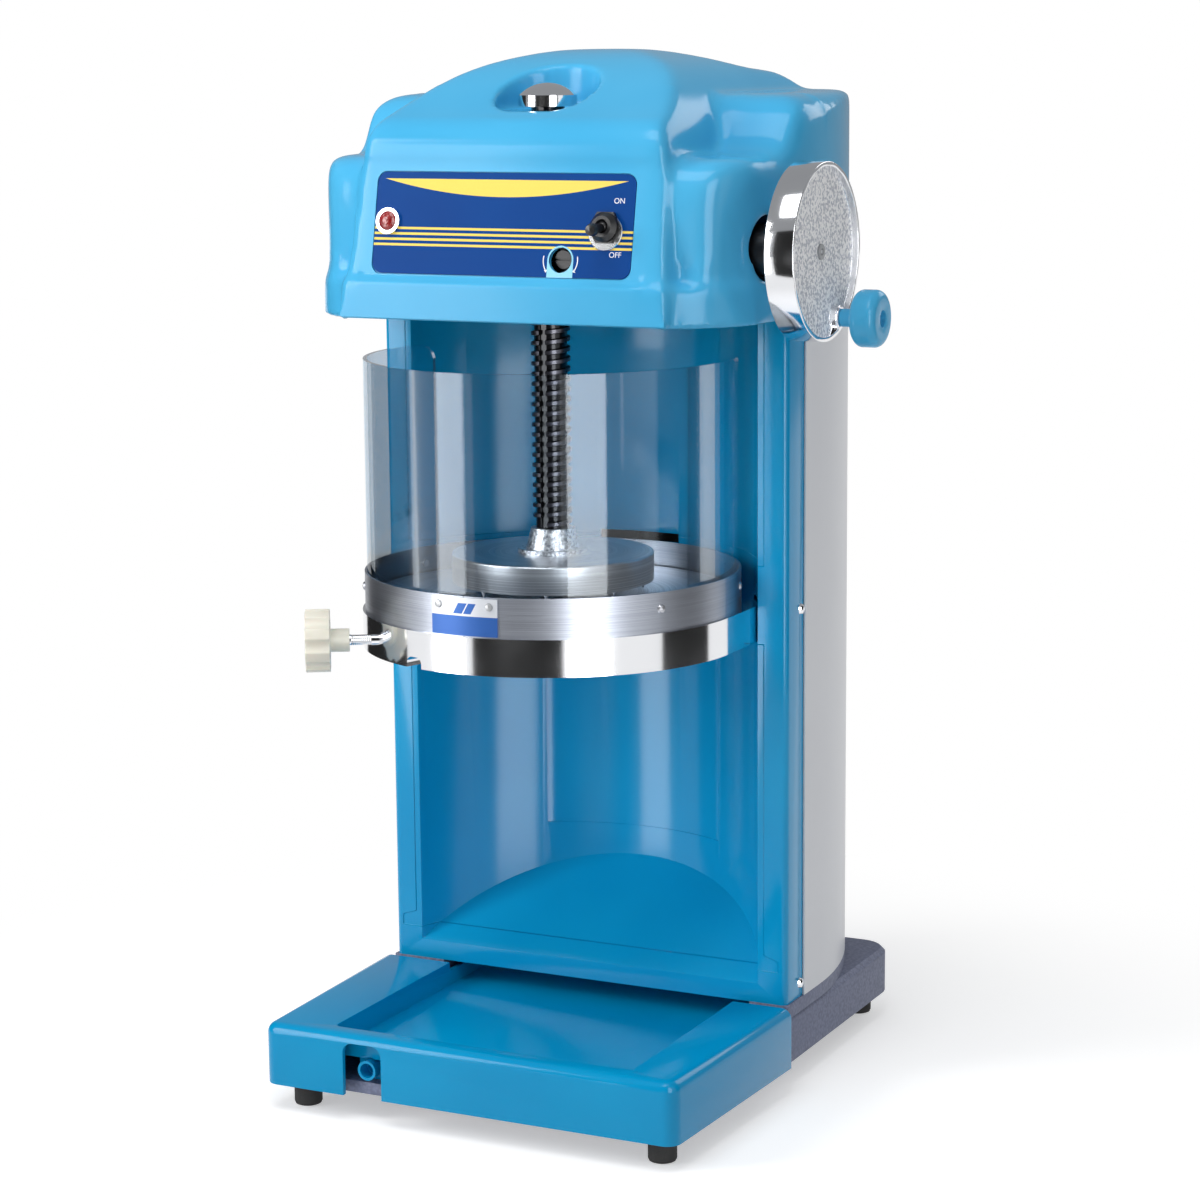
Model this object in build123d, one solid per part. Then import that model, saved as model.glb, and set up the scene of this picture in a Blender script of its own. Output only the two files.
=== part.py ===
from build123d import *
import os
from math import asin, atan2, cos, degrees, pi, radians, sin, sqrt, tan

# Block ice shaver with a feed crank. Millimetres, +Z up, -Y is the front.
# The origin is the centre of the four feet, on the bench.

# ------------------------------------------------------------------ driving sizes
# feet and base
foot_radius = 10.5
foot_height = 20.0
foot_inset = 22.0
foot_pitch_y = 380.0
foot_edge_round = 2.5
foot_screw_radius = 2.5
foot_screw_head_radius = 4.6
foot_counterbore_depth = 8.0
base_front_inset = 8.5
base_front_y = -205.0
base_back_y = 210.0
base_corner_radius = 25.0
base_front_thickness = 9.0
base_rim_height = 36.0
base_plinth_height = 10.0
base_wall = 7.0
foot_boss_radius = 14.0
tray_rail_width = 12.0
tray_rail_offset = 58.0

# ice spindle
spindle_from_front_feet = 127.0
thread_crest_radius = 14.5
thread_root_radius = 12.2
thread_pitch = 7.5
thread_root_width = 4.6
thread_crest_width = 2.6
thread_turns = 40
keyway_width = 5.0
keyway_depth = 3.5
cap_radius = 21.5
cap_rim_height = 8.0
cap_dome_height = 9.0
cap_bottom_z = 737.0

# press
press_radius = 75.2
press_thickness = 21.0
press_top_z = 410.3
press_hub_radius = 20.0
press_hub_height = 18.0
press_hub_top_radius = 16.0
spike_count = 8
spike_radius = 2.0
spike_length = 6.8
spike_circle_radius = 67.0
press_travel = 140.0

# ice chamber
band_radius = 140.0
band_thickness = 1.6
band_height = 29.0
band_top_z = 398.7
yoke_overhang = 2.0
yoke_wall = 16.0
yoke_height = 27.0
yoke_notch_width = 15.0
yoke_notch_height = 8.0
yoke_notch_angle = -108.0
guard_thickness = 3.0
guard_top_z = 556.0
guard_half_angle = 112.0
guard_corner_radius = 14.0
table_thickness = 10.0
blade_mouth = 6.0
blade_length = 104.0
blade_inner_end = 8.0
blade_thickness = 2.5
blade_tilt = 28.0
blade_width = 46.0
carrier_start = 18.0
carrier_end = 44.0
push_lug_width = 14.0
bridge_bar_thickness = 4.0
band_plate_width = 52.0
band_plate_height = 27.0
rivet_radius = 1.6
rivet_head_radius = 3.4
rivet_angles = (-30.0, 16.0, 164.0, 210.0)

# blade adjuster
adjuster_axis_angle = 210.0
adjuster_offset = 53.5
adjuster_reach = 52.0
adjuster_stud_radius = 4.0
adjuster_hub_radius = 8.5
adjuster_hub_length = 14.0
adjuster_knob_radius = 23.0
adjuster_knob_length = 18.0
adjuster_lobes = 8

# drip tray
tray_front_inset = 0.2
tray_back_overhang = 7.8
tray_front_y = -216.7
tray_back_y = -23.3
tray_bottom_z = 20.6
tray_top_z = 67.1
tray_wall = 4.0
tray_corner_radius = 11.0
tray_edge_radius = 8.0
pan_left_x = -116.0
pan_right_x = 128.0
pan_front_y = -200.0
pan_back_y = 48.0
pan_floor_z = 49.0
pan_floor_thickness = 2.0
spout_x = -84.0
spout_z = 39.5
spout_radius = 7.5
spout_bore_radius = 5.5
spout_spigot_radius = 6.9
spout_spigot_bore_radius = 4.9
spout_reach = 12.5
hose_room = 0.9
spout_notch_width = 32.0
spout_notch_top_z = 61.0

# column covers
column_front_y = -15.2
column_side_strip = 15.8
column_return_depth = 31.7
column_bottom_z = 66.0
column_top_z = 595.0
niche_panel_depth = 1.2
niche_panel_half_angle = 29.5
niche_panel_bottom_z = 164.0
niche_panel_top_z = 545.0
niche_slot_half_width = 34.0
niche_slot_z = 396.0
niche_slot_height = 7.0
niche_clear = 12.7
cover_wall = 3.0
ramp_front_z = 81.0
ramp_back_z = 141.0
rear_cover_overhang = 1.5
rear_side_bend_y = 47.0
rear_side_radius = 281.0
rear_side_turn = 24.6
rear_corner_radius = 50.0
rear_cover_wall = 1.2
cover_screw_radius = 2.0
cover_screw_head_radius = 4.2
cover_screw_heights = (77.0, 366.0)

# head
skirt_bottom_z = 585.3
skirt_height = 29.0
skirt_step = 3.0
head_front_y = -145.2
head_front_shoulder = 50.0
head_shoulder_y = -136.0
head_shoulder_mid_inset = 23.0
head_shoulder_mid_y = -117.0
head_shoulder_end_inset = 7.0
head_shoulder_end_y = -88.0
head_side_overhang = 12.5
head_side_bend_y = 1.4
head_side_radius = 375.0
head_side_turn = 28.0
head_corner_radius = 50.0
shoulder_top_z = 702.0
box_top_z = 745.0
shoulder_front_y = -121.0
shoulder_curve_start_y = -53.0
shoulder_curve_end_y = 6.0
fascia_bottom_y = -140.6
fascia_top_y = -124.5
fascia_top_z = 698.0
crease_y = -119.6
crease_z = 721.0
roof_start_y = -104.0
roof_start_z = 731.0
roof_end_y = -4.0
crown_z = 777.5
crown_flat_y = 40.0
crown_back_y = 125.0
crown_back_z = 762.0
crown_drop_y = 180.0
crown_drop_z = 738.0
box_top_round = 24.0
head_wall = 4.0
pocket_radius = 38.0
pocket_floor_z = 734.0
cap_clearance = 1.2
panel_width = 207.0
panel_centre_x = -2.5
panel_bottom_z = 619.5
panel_height = 72.0
panel_thickness = 1.2
panel_corner_radius = 8.0
brake_hole_radius = 9.0
panel_tab_width = 20.0

# panel controls
reset_x = -94.8
reset_z = 656.3
reset_bezel_radius = 9.5
reset_button_radius = 7.0
reset_travel = 2.0
toggle_x = 80.0
toggle_z = 654.4
toggle_boot_radius = 12.5
toggle_lever_length = 22.0
toggle_lever_tilt = 14.0
toggle_pin_radius = 1.5
brake_x = 46.2
brake_z = 631.5

# drive inside the head
frame_plate_z = 597.0
frame_plate_thickness = 6.0
hub_outer_radius = 22.0
hub_flange_radius = 27.0
sliding_gap = 0.07
running_gap = 0.05
bearing_outer_radius = 34.0
bearing_height = 13.0
pulley_z = 605.5
pulley_thickness = 11.0
driven_pulley_radius = 62.0
motor_pulley_radius = 22.0
belt_width = 8.0
belt_depth = 6.0
motor_y = 141.0
motor_radius = 45.0
motor_length = 128.0
motor_shaft_radius = 7.0
crank_axis_z = 636.2
pinion_teeth = 14
ring_gear_teeth = 28
gear_module = 2.0
gear_face = 9.0
nut_radius = 19.0
nut_top_z = 700.0
brake_drum_radius = 33.0
brake_drum_height = 9.0
bridge_z = 680.0
bridge_thickness = 8.0
bridge_half_x = 78.0
bridge_half_y = 40.0
post_radius = 5.0

# crank
crank_shaft_radius = 8.0
crank_housing_radius = 18.5
crank_housing_wall = 6.0
bracket_x = 84.0
bracket_thickness = 8.0
wheel_radius = 63.0
wheel_stand_off = 15.8
wheel_thickness = 21.5
wheel_face_recess = 5.0
wheel_web = 7.0
wheel_rim_wall = 3.2
crank_pin_y = 25.0
crank_pin_z = -48.0
crank_pin_radius = 4.5
knob_neck_radius = 6.5
knob_radius = 20.5
knob_stand_off = 12.7
knob_length = 20.0
knob_hole_radius = 6.0

# ------------------------------------------------------------------ derived places
front_feet_y = -foot_pitch_y / 2
back_feet_y = foot_pitch_y / 2
yoke_radius = band_radius + yoke_overhang
niche_radius = band_radius + niche_clear
column_half_width = niche_radius + column_side_strip
rear_cover_half_width = column_half_width + rear_cover_overhang
base_half_width = column_half_width + rear_cover_overhang
base_front_half_width = column_half_width - base_front_inset
tray_front_half_width = column_half_width - tray_front_inset
tray_back_half_width = column_half_width + tray_back_overhang
foot_x = column_half_width - foot_inset
head_side_half_width = column_half_width + head_side_overhang
head_front_half_width = head_side_half_width - head_front_shoulder
head_shoulder_mid = (head_side_half_width - head_shoulder_mid_inset, head_shoulder_mid_y)
head_shoulder_end = (head_side_half_width - head_shoulder_end_inset, head_shoulder_end_y)
wheel_inner_x = head_side_half_width + wheel_stand_off
wheel_outer_x = wheel_inner_x + wheel_thickness
knob_start_x = wheel_outer_x + knob_stand_off
knob_end_x = knob_start_x + knob_length
spindle_y = front_feet_y + spindle_from_front_feet
base_bottom_z = foot_height
base_front_top_z = base_bottom_z + base_front_thickness
base_rim_z = base_bottom_z + base_rim_height
plinth_top_z = base_rim_z + base_plinth_height
band_bottom_z = band_top_z - band_height
yoke_top_z = band_bottom_z
yoke_bottom_z = yoke_top_z - yoke_height
yoke_mid_z = yoke_top_z - yoke_height / 2
table_top_z = yoke_top_z + table_thickness
guard_outer_radius = band_radius - band_thickness - 0.3
guard_inner_radius = guard_outer_radius - guard_thickness
table_radius = guard_inner_radius - 0.3
press_bottom_z = press_top_z - press_thickness
spindle_bottom_z = press_top_z + press_hub_height - 6.0
column_return_y = column_front_y + column_return_depth
niche_back_y = spindle_y + niche_radius
skirt_top_z = skirt_bottom_z + skirt_height
pan_underside_z = pan_floor_z - pan_floor_thickness
rail_gap = 0.3
pulley_top_z = pulley_z + pulley_thickness
frame_plate_top_z = frame_plate_z + frame_plate_thickness
wall_clear = 0.3
uprights_x = niche_radius - 14.7
upright_depth = 40.0
upright_width = 36.0
upright_wall = 4.0
upright_y = 62.0
bolt_clearance = 0.25

MIN = (Align.CENTER, Align.CENTER, Align.MIN)


# ------------------------------------------------------------------ small helpers
def rod(radius, height, x=0.0, y=0.0, z=0.0):
    """Upright cylinder standing on z."""
    return Pos(x, y, z) * Cylinder(radius, height, align=MIN)


def tube(outer, inner, height, x=0.0, y=0.0, z=0.0):
    """Upright ring standing on z."""
    return rod(outer, height, x, y, z) - rod(inner, height + 2, x, y, z - 1)


def slab(x0, x1, y0, y1, z0, z1):
    """Box between two corners."""
    return Pos((x0 + x1) / 2, (y0 + y1) / 2, (z0 + z1) / 2) * Box(x1 - x0, y1 - y0, z1 - z0)


def lying_x(radius, x0, x1, y, z):
    """Cylinder along X."""
    return Pos(x0, y, z) * Rot(0, 90, 0) * Cylinder(radius, x1 - x0, align=MIN)


def lying_y(radius, y0, y1, x, z):
    """Cylinder along Y."""
    return Pos(x, y0, z) * Rot(-90, 0, 0) * Cylinder(radius, y1 - y0, align=MIN)


def spun(points):
    """Solid of revolution about Z from (radius, z) points."""
    face = make_face(Polyline(*[(r, 0, z) for r, z in points], close=True))
    return revolve(face, Axis.Z)


def upright_prism(face, z0, z1):
    """Face in XY, extruded from z0 to z1."""
    return Pos(0, 0, z0) * extrude(face, z1 - z0)


def group(solids):
    """Several separate solids kept in one node."""
    return Compound(children=list(solids))


def sideways(face, half):
    """Face drawn as (y, z), extruded both ways along X."""
    return extrude(Plane.YZ * face, half, both=True)


def lengthways(face, y0, y1):
    """Face drawn as (x, z), extruded along Y from y0 to y1."""
    return Pos(0, y1, 0) * extrude(Plane.XZ * face, y1 - y0)


def fascia_y(z):
    """Y of the sloping front of the head at height z."""
    share = (z - skirt_top_z) / (fascia_top_z - skirt_top_z)
    return fascia_bottom_y + share * (fascia_top_y - fascia_bottom_y)


fascia_tilt = degrees(atan2(fascia_top_y - fascia_bottom_y, fascia_top_z - skirt_top_z))


def on_fascia(x, z):
    """Frame on the front of the head: local +Z points out of the panel."""
    return Pos(x, fascia_y(z), z) * Rot(90 - fascia_tilt, 0, 0)


def mirrored_outline(right_edges, close_from):
    """Closed face from edges on +X, their mirror images and the line that joins the two."""
    edges = Curve() + right_edges
    start = right_edges[0] @ 0
    closing = Line((start.X, start.Y), (-start.X, start.Y)) if close_from else None
    outline = edges + mirror(edges, Plane.YZ)
    return make_face(outline + closing if closing else outline)


# ------------------------------------------------------------------ base, feet, tray
def rear_plan(inset, front_y):
    """Plan of the rear cover, drawn inwards by inset, from front_y to the back."""
    half = rear_cover_half_width - inset
    side = Line((half, front_y), (half, rear_side_bend_y))
    sweep_in = JernArc(side @ 1, side % 1, rear_side_radius - inset, rear_side_turn)
    corner = JernArc(sweep_in @ 1, sweep_in % 1, rear_corner_radius - inset, 90 - rear_side_turn)
    back = Line(corner @ 1, (0, (corner @ 1).Y))
    return mirrored_outline([side, sweep_in, corner, back], True)


def base_plan(inset):
    """Plan of the whole base: narrow under the tray, wide behind it."""
    half = base_half_width - inset
    narrow = base_front_half_width - inset
    points = [
        (narrow, base_front_y + inset),
        (narrow, tray_back_y - 70),
        (half, tray_back_y - 15),
        (half, base_back_y - inset),
    ]
    outline = Polyline(*points, *[(-x, y) for x, y in reversed(points)], close=True)
    face = make_face(outline)
    corners = face.vertices().filter_by_position(Axis.Y, base_back_y - inset - 1, base_back_y)
    return fillet(corners, base_corner_radius - inset)


def foot_places():
    return [(sx * foot_x, y) for y in (front_feet_y, back_feet_y) for sx in (-1, 1)]


tongue_half_gap = 6.0
tongue_pocket = dict(
    x0=pan_left_x - tray_wall - tongue_half_gap,
    x1=pan_right_x + tray_wall + tongue_half_gap,
    y1=pan_back_y + tray_wall + tongue_half_gap,
)


def base_casting():
    whole = base_plan(0)
    front = upright_prism(whole, base_bottom_z, base_front_top_z)
    behind_tray = slab(-300, 300, column_front_y - 4, 400, 0, 200)
    rear = upright_prism(whole, base_bottom_z, base_rim_z) & behind_tray
    rear = chamfer(rear.faces().sort_by(Axis.Z)[-1].edges().filter_by_position(Axis.Y, 60, 400), 3.5)
    plinth = upright_prism(rear_plan(0, column_front_y), base_rim_z - 1, plinth_top_z)
    solid = front + rear + plinth
    # pocket that the tray's tongue slides into
    solid -= slab(tongue_pocket["x0"], tongue_pocket["x1"], column_front_y - 20,
                  tongue_pocket["y1"], base_front_top_z, plinth_top_z + 1)
    # hollow underside
    rear_hollow = slab(-base_half_width + base_wall, base_half_width - base_wall,
                       tongue_pocket["y1"] + base_wall, base_back_y - base_wall,
                       base_bottom_z - 1, base_rim_z - base_wall)
    solid -= rear_hollow & upright_prism(base_plan(base_wall), base_bottom_z - 1, base_rim_z)
    solid -= slab(-base_front_half_width + base_wall, base_front_half_width - base_wall,
                  base_front_y + base_wall, tongue_pocket["y1"] - base_wall,
                  base_bottom_z - 1, base_front_top_z - 4)
    for x, y in foot_places():
        top = base_front_top_z - 3.5 if y < 0 else base_rim_z - base_wall + 1
        solid += rod(foot_boss_radius, top - base_bottom_z, x, y, base_bottom_z)
        solid -= rod(foot_screw_radius, 8.0, x, y, base_bottom_z - 1)
    # rails that carry the tray
    for x in (pan_left_x + tray_rail_offset, pan_right_x - tray_rail_offset):
        solid += slab(x - tray_rail_width / 2, x + tray_rail_width / 2, pan_front_y + 32,
                      pan_back_y, base_front_top_z - 1, pan_underside_z - rail_gap)
    solid -= lying_y(gland_radius, base_back_y - base_wall - 30, base_back_y + 5, gland_x, gland_z)
    return solid


gland_x = -95.0
gland_z = 36.0
gland_radius = 8.0
gland_bore_radius = 4.0


def cord_gland():
    """Cable inlet gland through the back wall of the base, with an open bore for a cord."""
    wall_y = base_back_y
    body = lying_y(gland_radius - running_gap, wall_y - base_wall - 4, wall_y + 1, gland_x, gland_z)
    collar = lying_y(gland_radius + 4, wall_y, wall_y + 4, gland_x, gland_z)
    nose = lying_y(gland_radius + 0.5, wall_y + 3, wall_y + 15, gland_x, gland_z)
    nut = lying_y(gland_radius + 3.5, wall_y - base_wall - 4, wall_y - base_wall, gland_x, gland_z)
    bore = lying_y(gland_bore_radius, wall_y - 40, wall_y + 40, gland_x, gland_z)
    return body + collar + nose + nut - bore


def rubber_feet():
    profile = [
        (foot_screw_radius + bolt_clearance, foot_height),
        (foot_radius - 1, foot_height),
        (foot_radius, foot_height - 1),
        (foot_radius, foot_edge_round),
        (foot_radius - 0.3 * foot_edge_round, 0.3 * foot_edge_round),
        (foot_radius - foot_edge_round, 0),
        (foot_screw_head_radius + bolt_clearance, 0),
        (foot_screw_head_radius + bolt_clearance, foot_counterbore_depth),
        (foot_screw_radius + bolt_clearance, foot_counterbore_depth),
    ]
    foot = spun(profile)
    return group(Pos(x, y, 0) * foot for x, y in foot_places())


def foot_screws():
    head = rod(foot_screw_head_radius, 3.5, z=foot_counterbore_depth - 3.5)
    shank = rod(foot_screw_radius - running_gap, foot_height - foot_counterbore_depth + 6,
                z=foot_counterbore_depth)
    slot = slab(-foot_screw_head_radius, foot_screw_head_radius, -0.6, 0.6,
                foot_counterbore_depth - 4.5, foot_counterbore_depth - 2.5)
    return group(Pos(x, y, 0) * (head + shank - slot) for x, y in foot_places())


def tray_plan(inset, front_y, back_y):
    """Plan of the tray skirt: its sides spread towards the back."""
    spread = (tray_back_half_width - tray_front_half_width) / (tray_back_y - tray_front_y)

    def half(y):
        return tray_front_half_width + spread * (y - tray_front_y) - inset

    points = [(half(front_y), front_y), (half(back_y), back_y)]
    face = make_face(Polyline(*points, *[(-x, y) for x, y in reversed(points)], close=True))
    front = face.vertices().filter_by_position(Axis.Y, front_y - 1, front_y + 1)
    return fillet(front, tray_corner_radius - inset)


def drip_tray():
    outer = upright_prism(tray_plan(0, tray_front_y, tray_back_y), tray_bottom_z, tray_top_z)
    rim = outer.faces().sort_by(Axis.Z)[-1].edges().filter_by_position(
        Axis.Y, tray_front_y - 1, tray_back_y - 1)
    outer = fillet(rim, tray_edge_radius)
    cavity = upright_prism(tray_plan(tray_wall, tray_front_y + tray_wall, tray_back_y + 5),
                           tray_bottom_z - 1, tray_top_z - tray_wall)
    pan_block = slab(pan_left_x - tray_wall, pan_right_x + tray_wall, pan_front_y - tray_wall,
                     tray_back_y, pan_underside_z, tray_top_z - tray_wall + 1)
    tongue = slab(pan_left_x - tray_wall, pan_right_x + tray_wall, tray_back_y - 8,
                  pan_back_y + tray_wall, pan_underside_z, column_bottom_z - 6)
    solid = outer - cavity + pan_block + tongue
    recess_face = make_face(Polyline((pan_left_x, pan_front_y), (pan_right_x, pan_front_y),
                                     (pan_right_x, pan_back_y), (pan_left_x, pan_back_y), close=True))
    recess_face = fillet(recess_face.vertices(), 5)
    solid -= upright_prism(recess_face, pan_floor_z, tray_top_z + 5)
    # sump that leads to the spout
    sump_half = spout_radius + 5.5
    sump_y0, sump_y1 = sump_front_y, sump_front_y + 28
    solid += slab(spout_x - sump_half, spout_x + sump_half, sump_y0, sump_y1,
                  sump_bottom_z, pan_underside_z + 1)
    solid -= slab(spout_x - sump_half + 3, spout_x + sump_half - 3, sump_y0 + 3, sump_y1 - 3,
                  sump_bottom_z + 2, pan_floor_z + 1)
    solid -= lying_y(spout_spigot_radius + running_gap, sump_y0 - 1, sump_y0 + 4, spout_x, spout_z)
    # channel under the pan that leaves room for a hose over the spout
    solid -= lying_y(spout_radius + hose_room, tray_front_y - 1, sump_y0, spout_x, spout_z)
    # arched notch in the front skirt that shows the spout
    notch = slab(spout_x - spout_notch_width / 2, spout_x + spout_notch_width / 2,
                 tray_front_y - 5, tray_front_y + tray_wall + 6, tray_bottom_z - 2, spout_notch_top_z)
    arch = fillet(notch.edges().filter_by(Axis.Y).sort_by(Axis.Z)[-2:], 8)
    return solid - arch


sump_front_y = pan_front_y + 3.0
sump_bottom_z = spout_z - spout_radius - 2.5


def drain_spout():
    y0 = sump_front_y - spout_reach
    y1 = sump_front_y + 2.9
    body = lying_y(spout_radius - running_gap, y0, sump_front_y, spout_x, spout_z)
    body += lying_y(spout_spigot_radius, sump_front_y - 1, y1, spout_x, spout_z)
    body -= lying_y(spout_bore_radius, y0 - 1, sump_front_y - 2, spout_x, spout_z)
    return body - lying_y(spout_spigot_bore_radius, y0 - 1, y1 + 1, spout_x, spout_z)


# ------------------------------------------------------------------ column
def column_front_cover():
    """Moulded front: two strips, the round niche and its ramp floor, one wall thick."""
    height_face = make_face(Polyline(
        (column_half_width, column_front_y), (column_half_width, column_return_y),
        (-column_half_width, column_return_y), (-column_half_width, column_front_y), close=True))
    front = height_face.vertices().filter_by_position(Axis.Y, column_front_y - 1, column_front_y + 1)
    height_face = fillet(front, 5)
    outer = upright_prism(height_face, column_bottom_z, column_top_z)
    back_shell = rod(niche_radius + cover_wall, column_top_z - column_bottom_z, 0, spindle_y,
                     column_bottom_z)
    back_shell &= slab(-400, 400, column_front_y + 1, 400, 0, 800)
    hollow = slab(-column_half_width + cover_wall, column_half_width - cover_wall,
                  column_front_y + cover_wall, column_return_y + 5, column_bottom_z - 1, column_top_z + 1)
    hollow -= rod(niche_radius + cover_wall, 900, 0, spindle_y, 0)
    niche = rod(niche_radius, column_top_z, 0, spindle_y, column_bottom_z - 1)
    solid = outer + back_shell - hollow - niche
    # ramp floor of the niche
    ramp_run = niche_back_y - column_front_y
    ramp_face = Polyline((column_front_y, column_bottom_z), (column_front_y, ramp_front_z),
                         (niche_back_y + 1, ramp_back_z), (niche_back_y + 1, ramp_back_z - 4),
                         (column_front_y + 5, ramp_front_z - 4), (column_front_y + 5, column_bottom_z),
                         close=True)
    ramp = sideways(make_face(ramp_face), niche_radius + 7.3)
    ramp &= rod(niche_radius + cover_wall / 2, 400, 0, spindle_y, 0)
    solid += ramp
    # shallow pressed panel and the slot for the band's rear clip
    wedge = ring_sector(niche_radius + niche_panel_depth, niche_radius - 3, niche_panel_bottom_z,
                        niche_panel_top_z, niche_panel_half_angle)
    solid -= Pos(0, spindle_y, 0) * Rot(0, 0, 180) * wedge
    solid -= slab(-niche_slot_half_width, niche_slot_half_width, niche_back_y - 8, niche_back_y + 8,
                  niche_slot_z, niche_slot_z + niche_slot_height)
    # slots that the two arms of the yoke pass through
    for side in (-1, 1):
        x0 = side * (yoke_radius - yoke_wall / 2)
        solid -= slab(x0 - yoke_wall / 2 - arm_clear, x0 + yoke_wall / 2 + arm_clear,
                      column_front_y + 6, 60, yoke_bottom_z - arm_clear, yoke_top_z + arm_clear)
        for z in screw_heights():
            start, end = sorted((side * screw_hole_start, side * screw_hole_end))
            solid -= lying_x(cover_screw_radius + bolt_clearance, start, end, cover_screw_y, z)
    return solid


arm_clear = 2.0
cover_screw_y = column_return_y - 5.0
screw_hole_start = column_half_width - 13.0
screw_hole_end = column_half_width + 6.5


def screw_heights():
    return [z for z in cover_screw_heights]


def column_rear_cover():
    """Sheet metal cover round the back of the column."""
    z0 = plinth_top_z
    z1 = skirt_bottom_z - 0.3
    outer = upright_prism(rear_plan(0, column_return_y + 0.3), z0, z1)
    inner = upright_prism(rear_plan(rear_cover_wall, column_return_y - 1), z0 - 1, z1 + 1)
    # front flanges that lie behind the front cover's returns
    cover = outer - inner
    flange_x = column_half_width - cover_wall - wall_clear
    for side in (-1, 1):
        x_in, x_out = sorted((side * (flange_x - 1.5), side * flange_x))
        cover += slab(x_in, x_out, column_return_y - 12, column_return_y + 3, z0, z1)
        x_in, x_out = sorted((side * (flange_x - 1.5), side * (rear_cover_half_width - 0.6)))
        cover += slab(x_in, x_out, column_return_y + 1, column_return_y + 2.5, z0, z1)
        for z in screw_heights():
            start, end = sorted((side * screw_hole_start, side * screw_hole_end))
            cover -= lying_x(cover_screw_radius, start, end, cover_screw_y, z)
    # louvres low on the back, over the motor's air way
    for row in range(6):
        z = 150 + 14 * row
        cover -= slab(-45, 45, motor_y + motor_radius, motor_y + motor_radius + 44, z, z + 5)
    return cover


def cover_screws():
    solids = []
    for side in (-1, 1):
        for z in screw_heights():
            inner_x = column_half_width - cover_wall - 3
            shank = Cylinder(cover_screw_radius - running_gap, column_half_width - inner_x, align=MIN)
            head = spun([(0, 0), (cover_screw_head_radius, 0), (cover_screw_head_radius - 0.8, 1.6),
                         (cover_screw_head_radius - 2.4, 2.5), (0, 2.6)])
            slot = Pos(0, 0, 2.6) * Box(9, 0.9, 1.4)
            screw = Pos(0, 0, inner_x) * shank + Pos(0, 0, column_half_width) * (head - slot)
            solids.append(Pos(0, cover_screw_y, z) * Rot(0, 90 * side, 0) * screw)
    return group(solids)


def uprights_at(side):
    """One folded steel upright behind the niche."""
    x = side * uprights_x
    z0, z1 = plinth_top_z, frame_plate_z
    half = upright_width / 2
    outer = slab(x - half, x + half, upright_y, upright_y + upright_depth, z0, z1)
    inner = slab(x - half + upright_wall, x + half - upright_wall, upright_y - 1,
                 upright_y + upright_depth - upright_wall, z0 + upright_wall, z1 - upright_wall)
    return outer - inner


def column_frame():
    """Two steel uprights joined by cross members, standing on the base."""
    left, right = uprights_at(-1), uprights_at(1)
    reach = uprights_x - upright_width / 2 + 2
    y1 = upright_y + upright_depth
    tie_low = slab(-reach, reach, y1 - upright_wall, y1, 200, 240)
    tie_high = slab(-reach, reach, y1 - upright_wall, y1, 420, 450)
    return left + right + tie_low + tie_high


def frame_plate():
    """Steel plate on top of the uprights that reaches forward over the niche."""
    reach = uprights_x + upright_width / 2
    plate_face = make_face(Polyline(
        (reach, upright_y + upright_depth), (motor_radius + 16, motor_y + motor_radius),
        (-motor_radius - 16, motor_y + motor_radius), (-reach, upright_y + upright_depth),
        (-reach, upright_y - 4), (-bracket_x - 24, spindle_y - 40), (-60, spindle_y - 64),
        (60, spindle_y - 64), (bracket_x + 24, spindle_y - 40), (reach, upright_y - 4), close=True))
    plate = upright_prism(plate_face, frame_plate_z, frame_plate_top_z)
    housing = rod(bearing_outer_radius + 6, frame_plate_thickness + 8, 0, spindle_y, frame_plate_z - 8)
    plate += housing
    plate -= rod(bearing_outer_radius, bearing_height, 0, spindle_y, frame_plate_z - 8 + 2.5)
    plate -= rod(hub_flange_radius + 2, 40, 0, spindle_y, frame_plate_z - 20)
    plate -= rod(motor_pilot_radius + bolt_clearance, 40, 0, motor_y, frame_plate_z - 20)
    # post that the brake screw turns in
    post = slab(brake_x - 8, brake_x + 8, brake_post_y, brake_post_y + 6, frame_plate_z + 1,
                brake_z + 9)
    return plate + post - lying_y(3.5 + running_gap, -200, -60, brake_x, brake_z)


brake_post_y = spindle_y - 59.0


motor_pilot_radius = 18.0


# ------------------------------------------------------------------ ice table
def ring_sector(outer, inner, z0, z1, half_angle):
    """Upright ring segment centred on the front (-Y)."""
    a = radians(half_angle)
    ring = tube(outer, inner, z1 - z0, z=z0)
    far = 3 * outer
    if half_angle >= 90:
        cut = make_face(Polyline((0, 0), (far * sin(a), -far * cos(a)), (0, far * 2),
                                 (-far * sin(a), -far * cos(a)), close=True))
        ring -= upright_prism(cut, z0 - 1, z1 + 1)
    else:
        keep = make_face(Polyline((0, 0), (far * sin(a), -far * cos(a)),
                                  (-far * sin(a), -far * cos(a)), close=True))
        ring &= upright_prism(keep, z0 - 1, z1 + 1)
    return ring


def along(angle, distance, offset=0.0):
    """Point at a distance along a direction in plan, shifted sideways by offset."""
    a = radians(angle)
    return (distance * cos(a) + offset * cos(a + pi / 2),
            spindle_y + distance * sin(a) + offset * sin(a + pi / 2))


def blade_frame():
    """Frame on the spindle axis whose local X runs out along the blade, and local Y towards the front."""
    return Pos(0, spindle_y, 0) * Rot(0, 0, adjuster_axis_angle)


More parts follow.
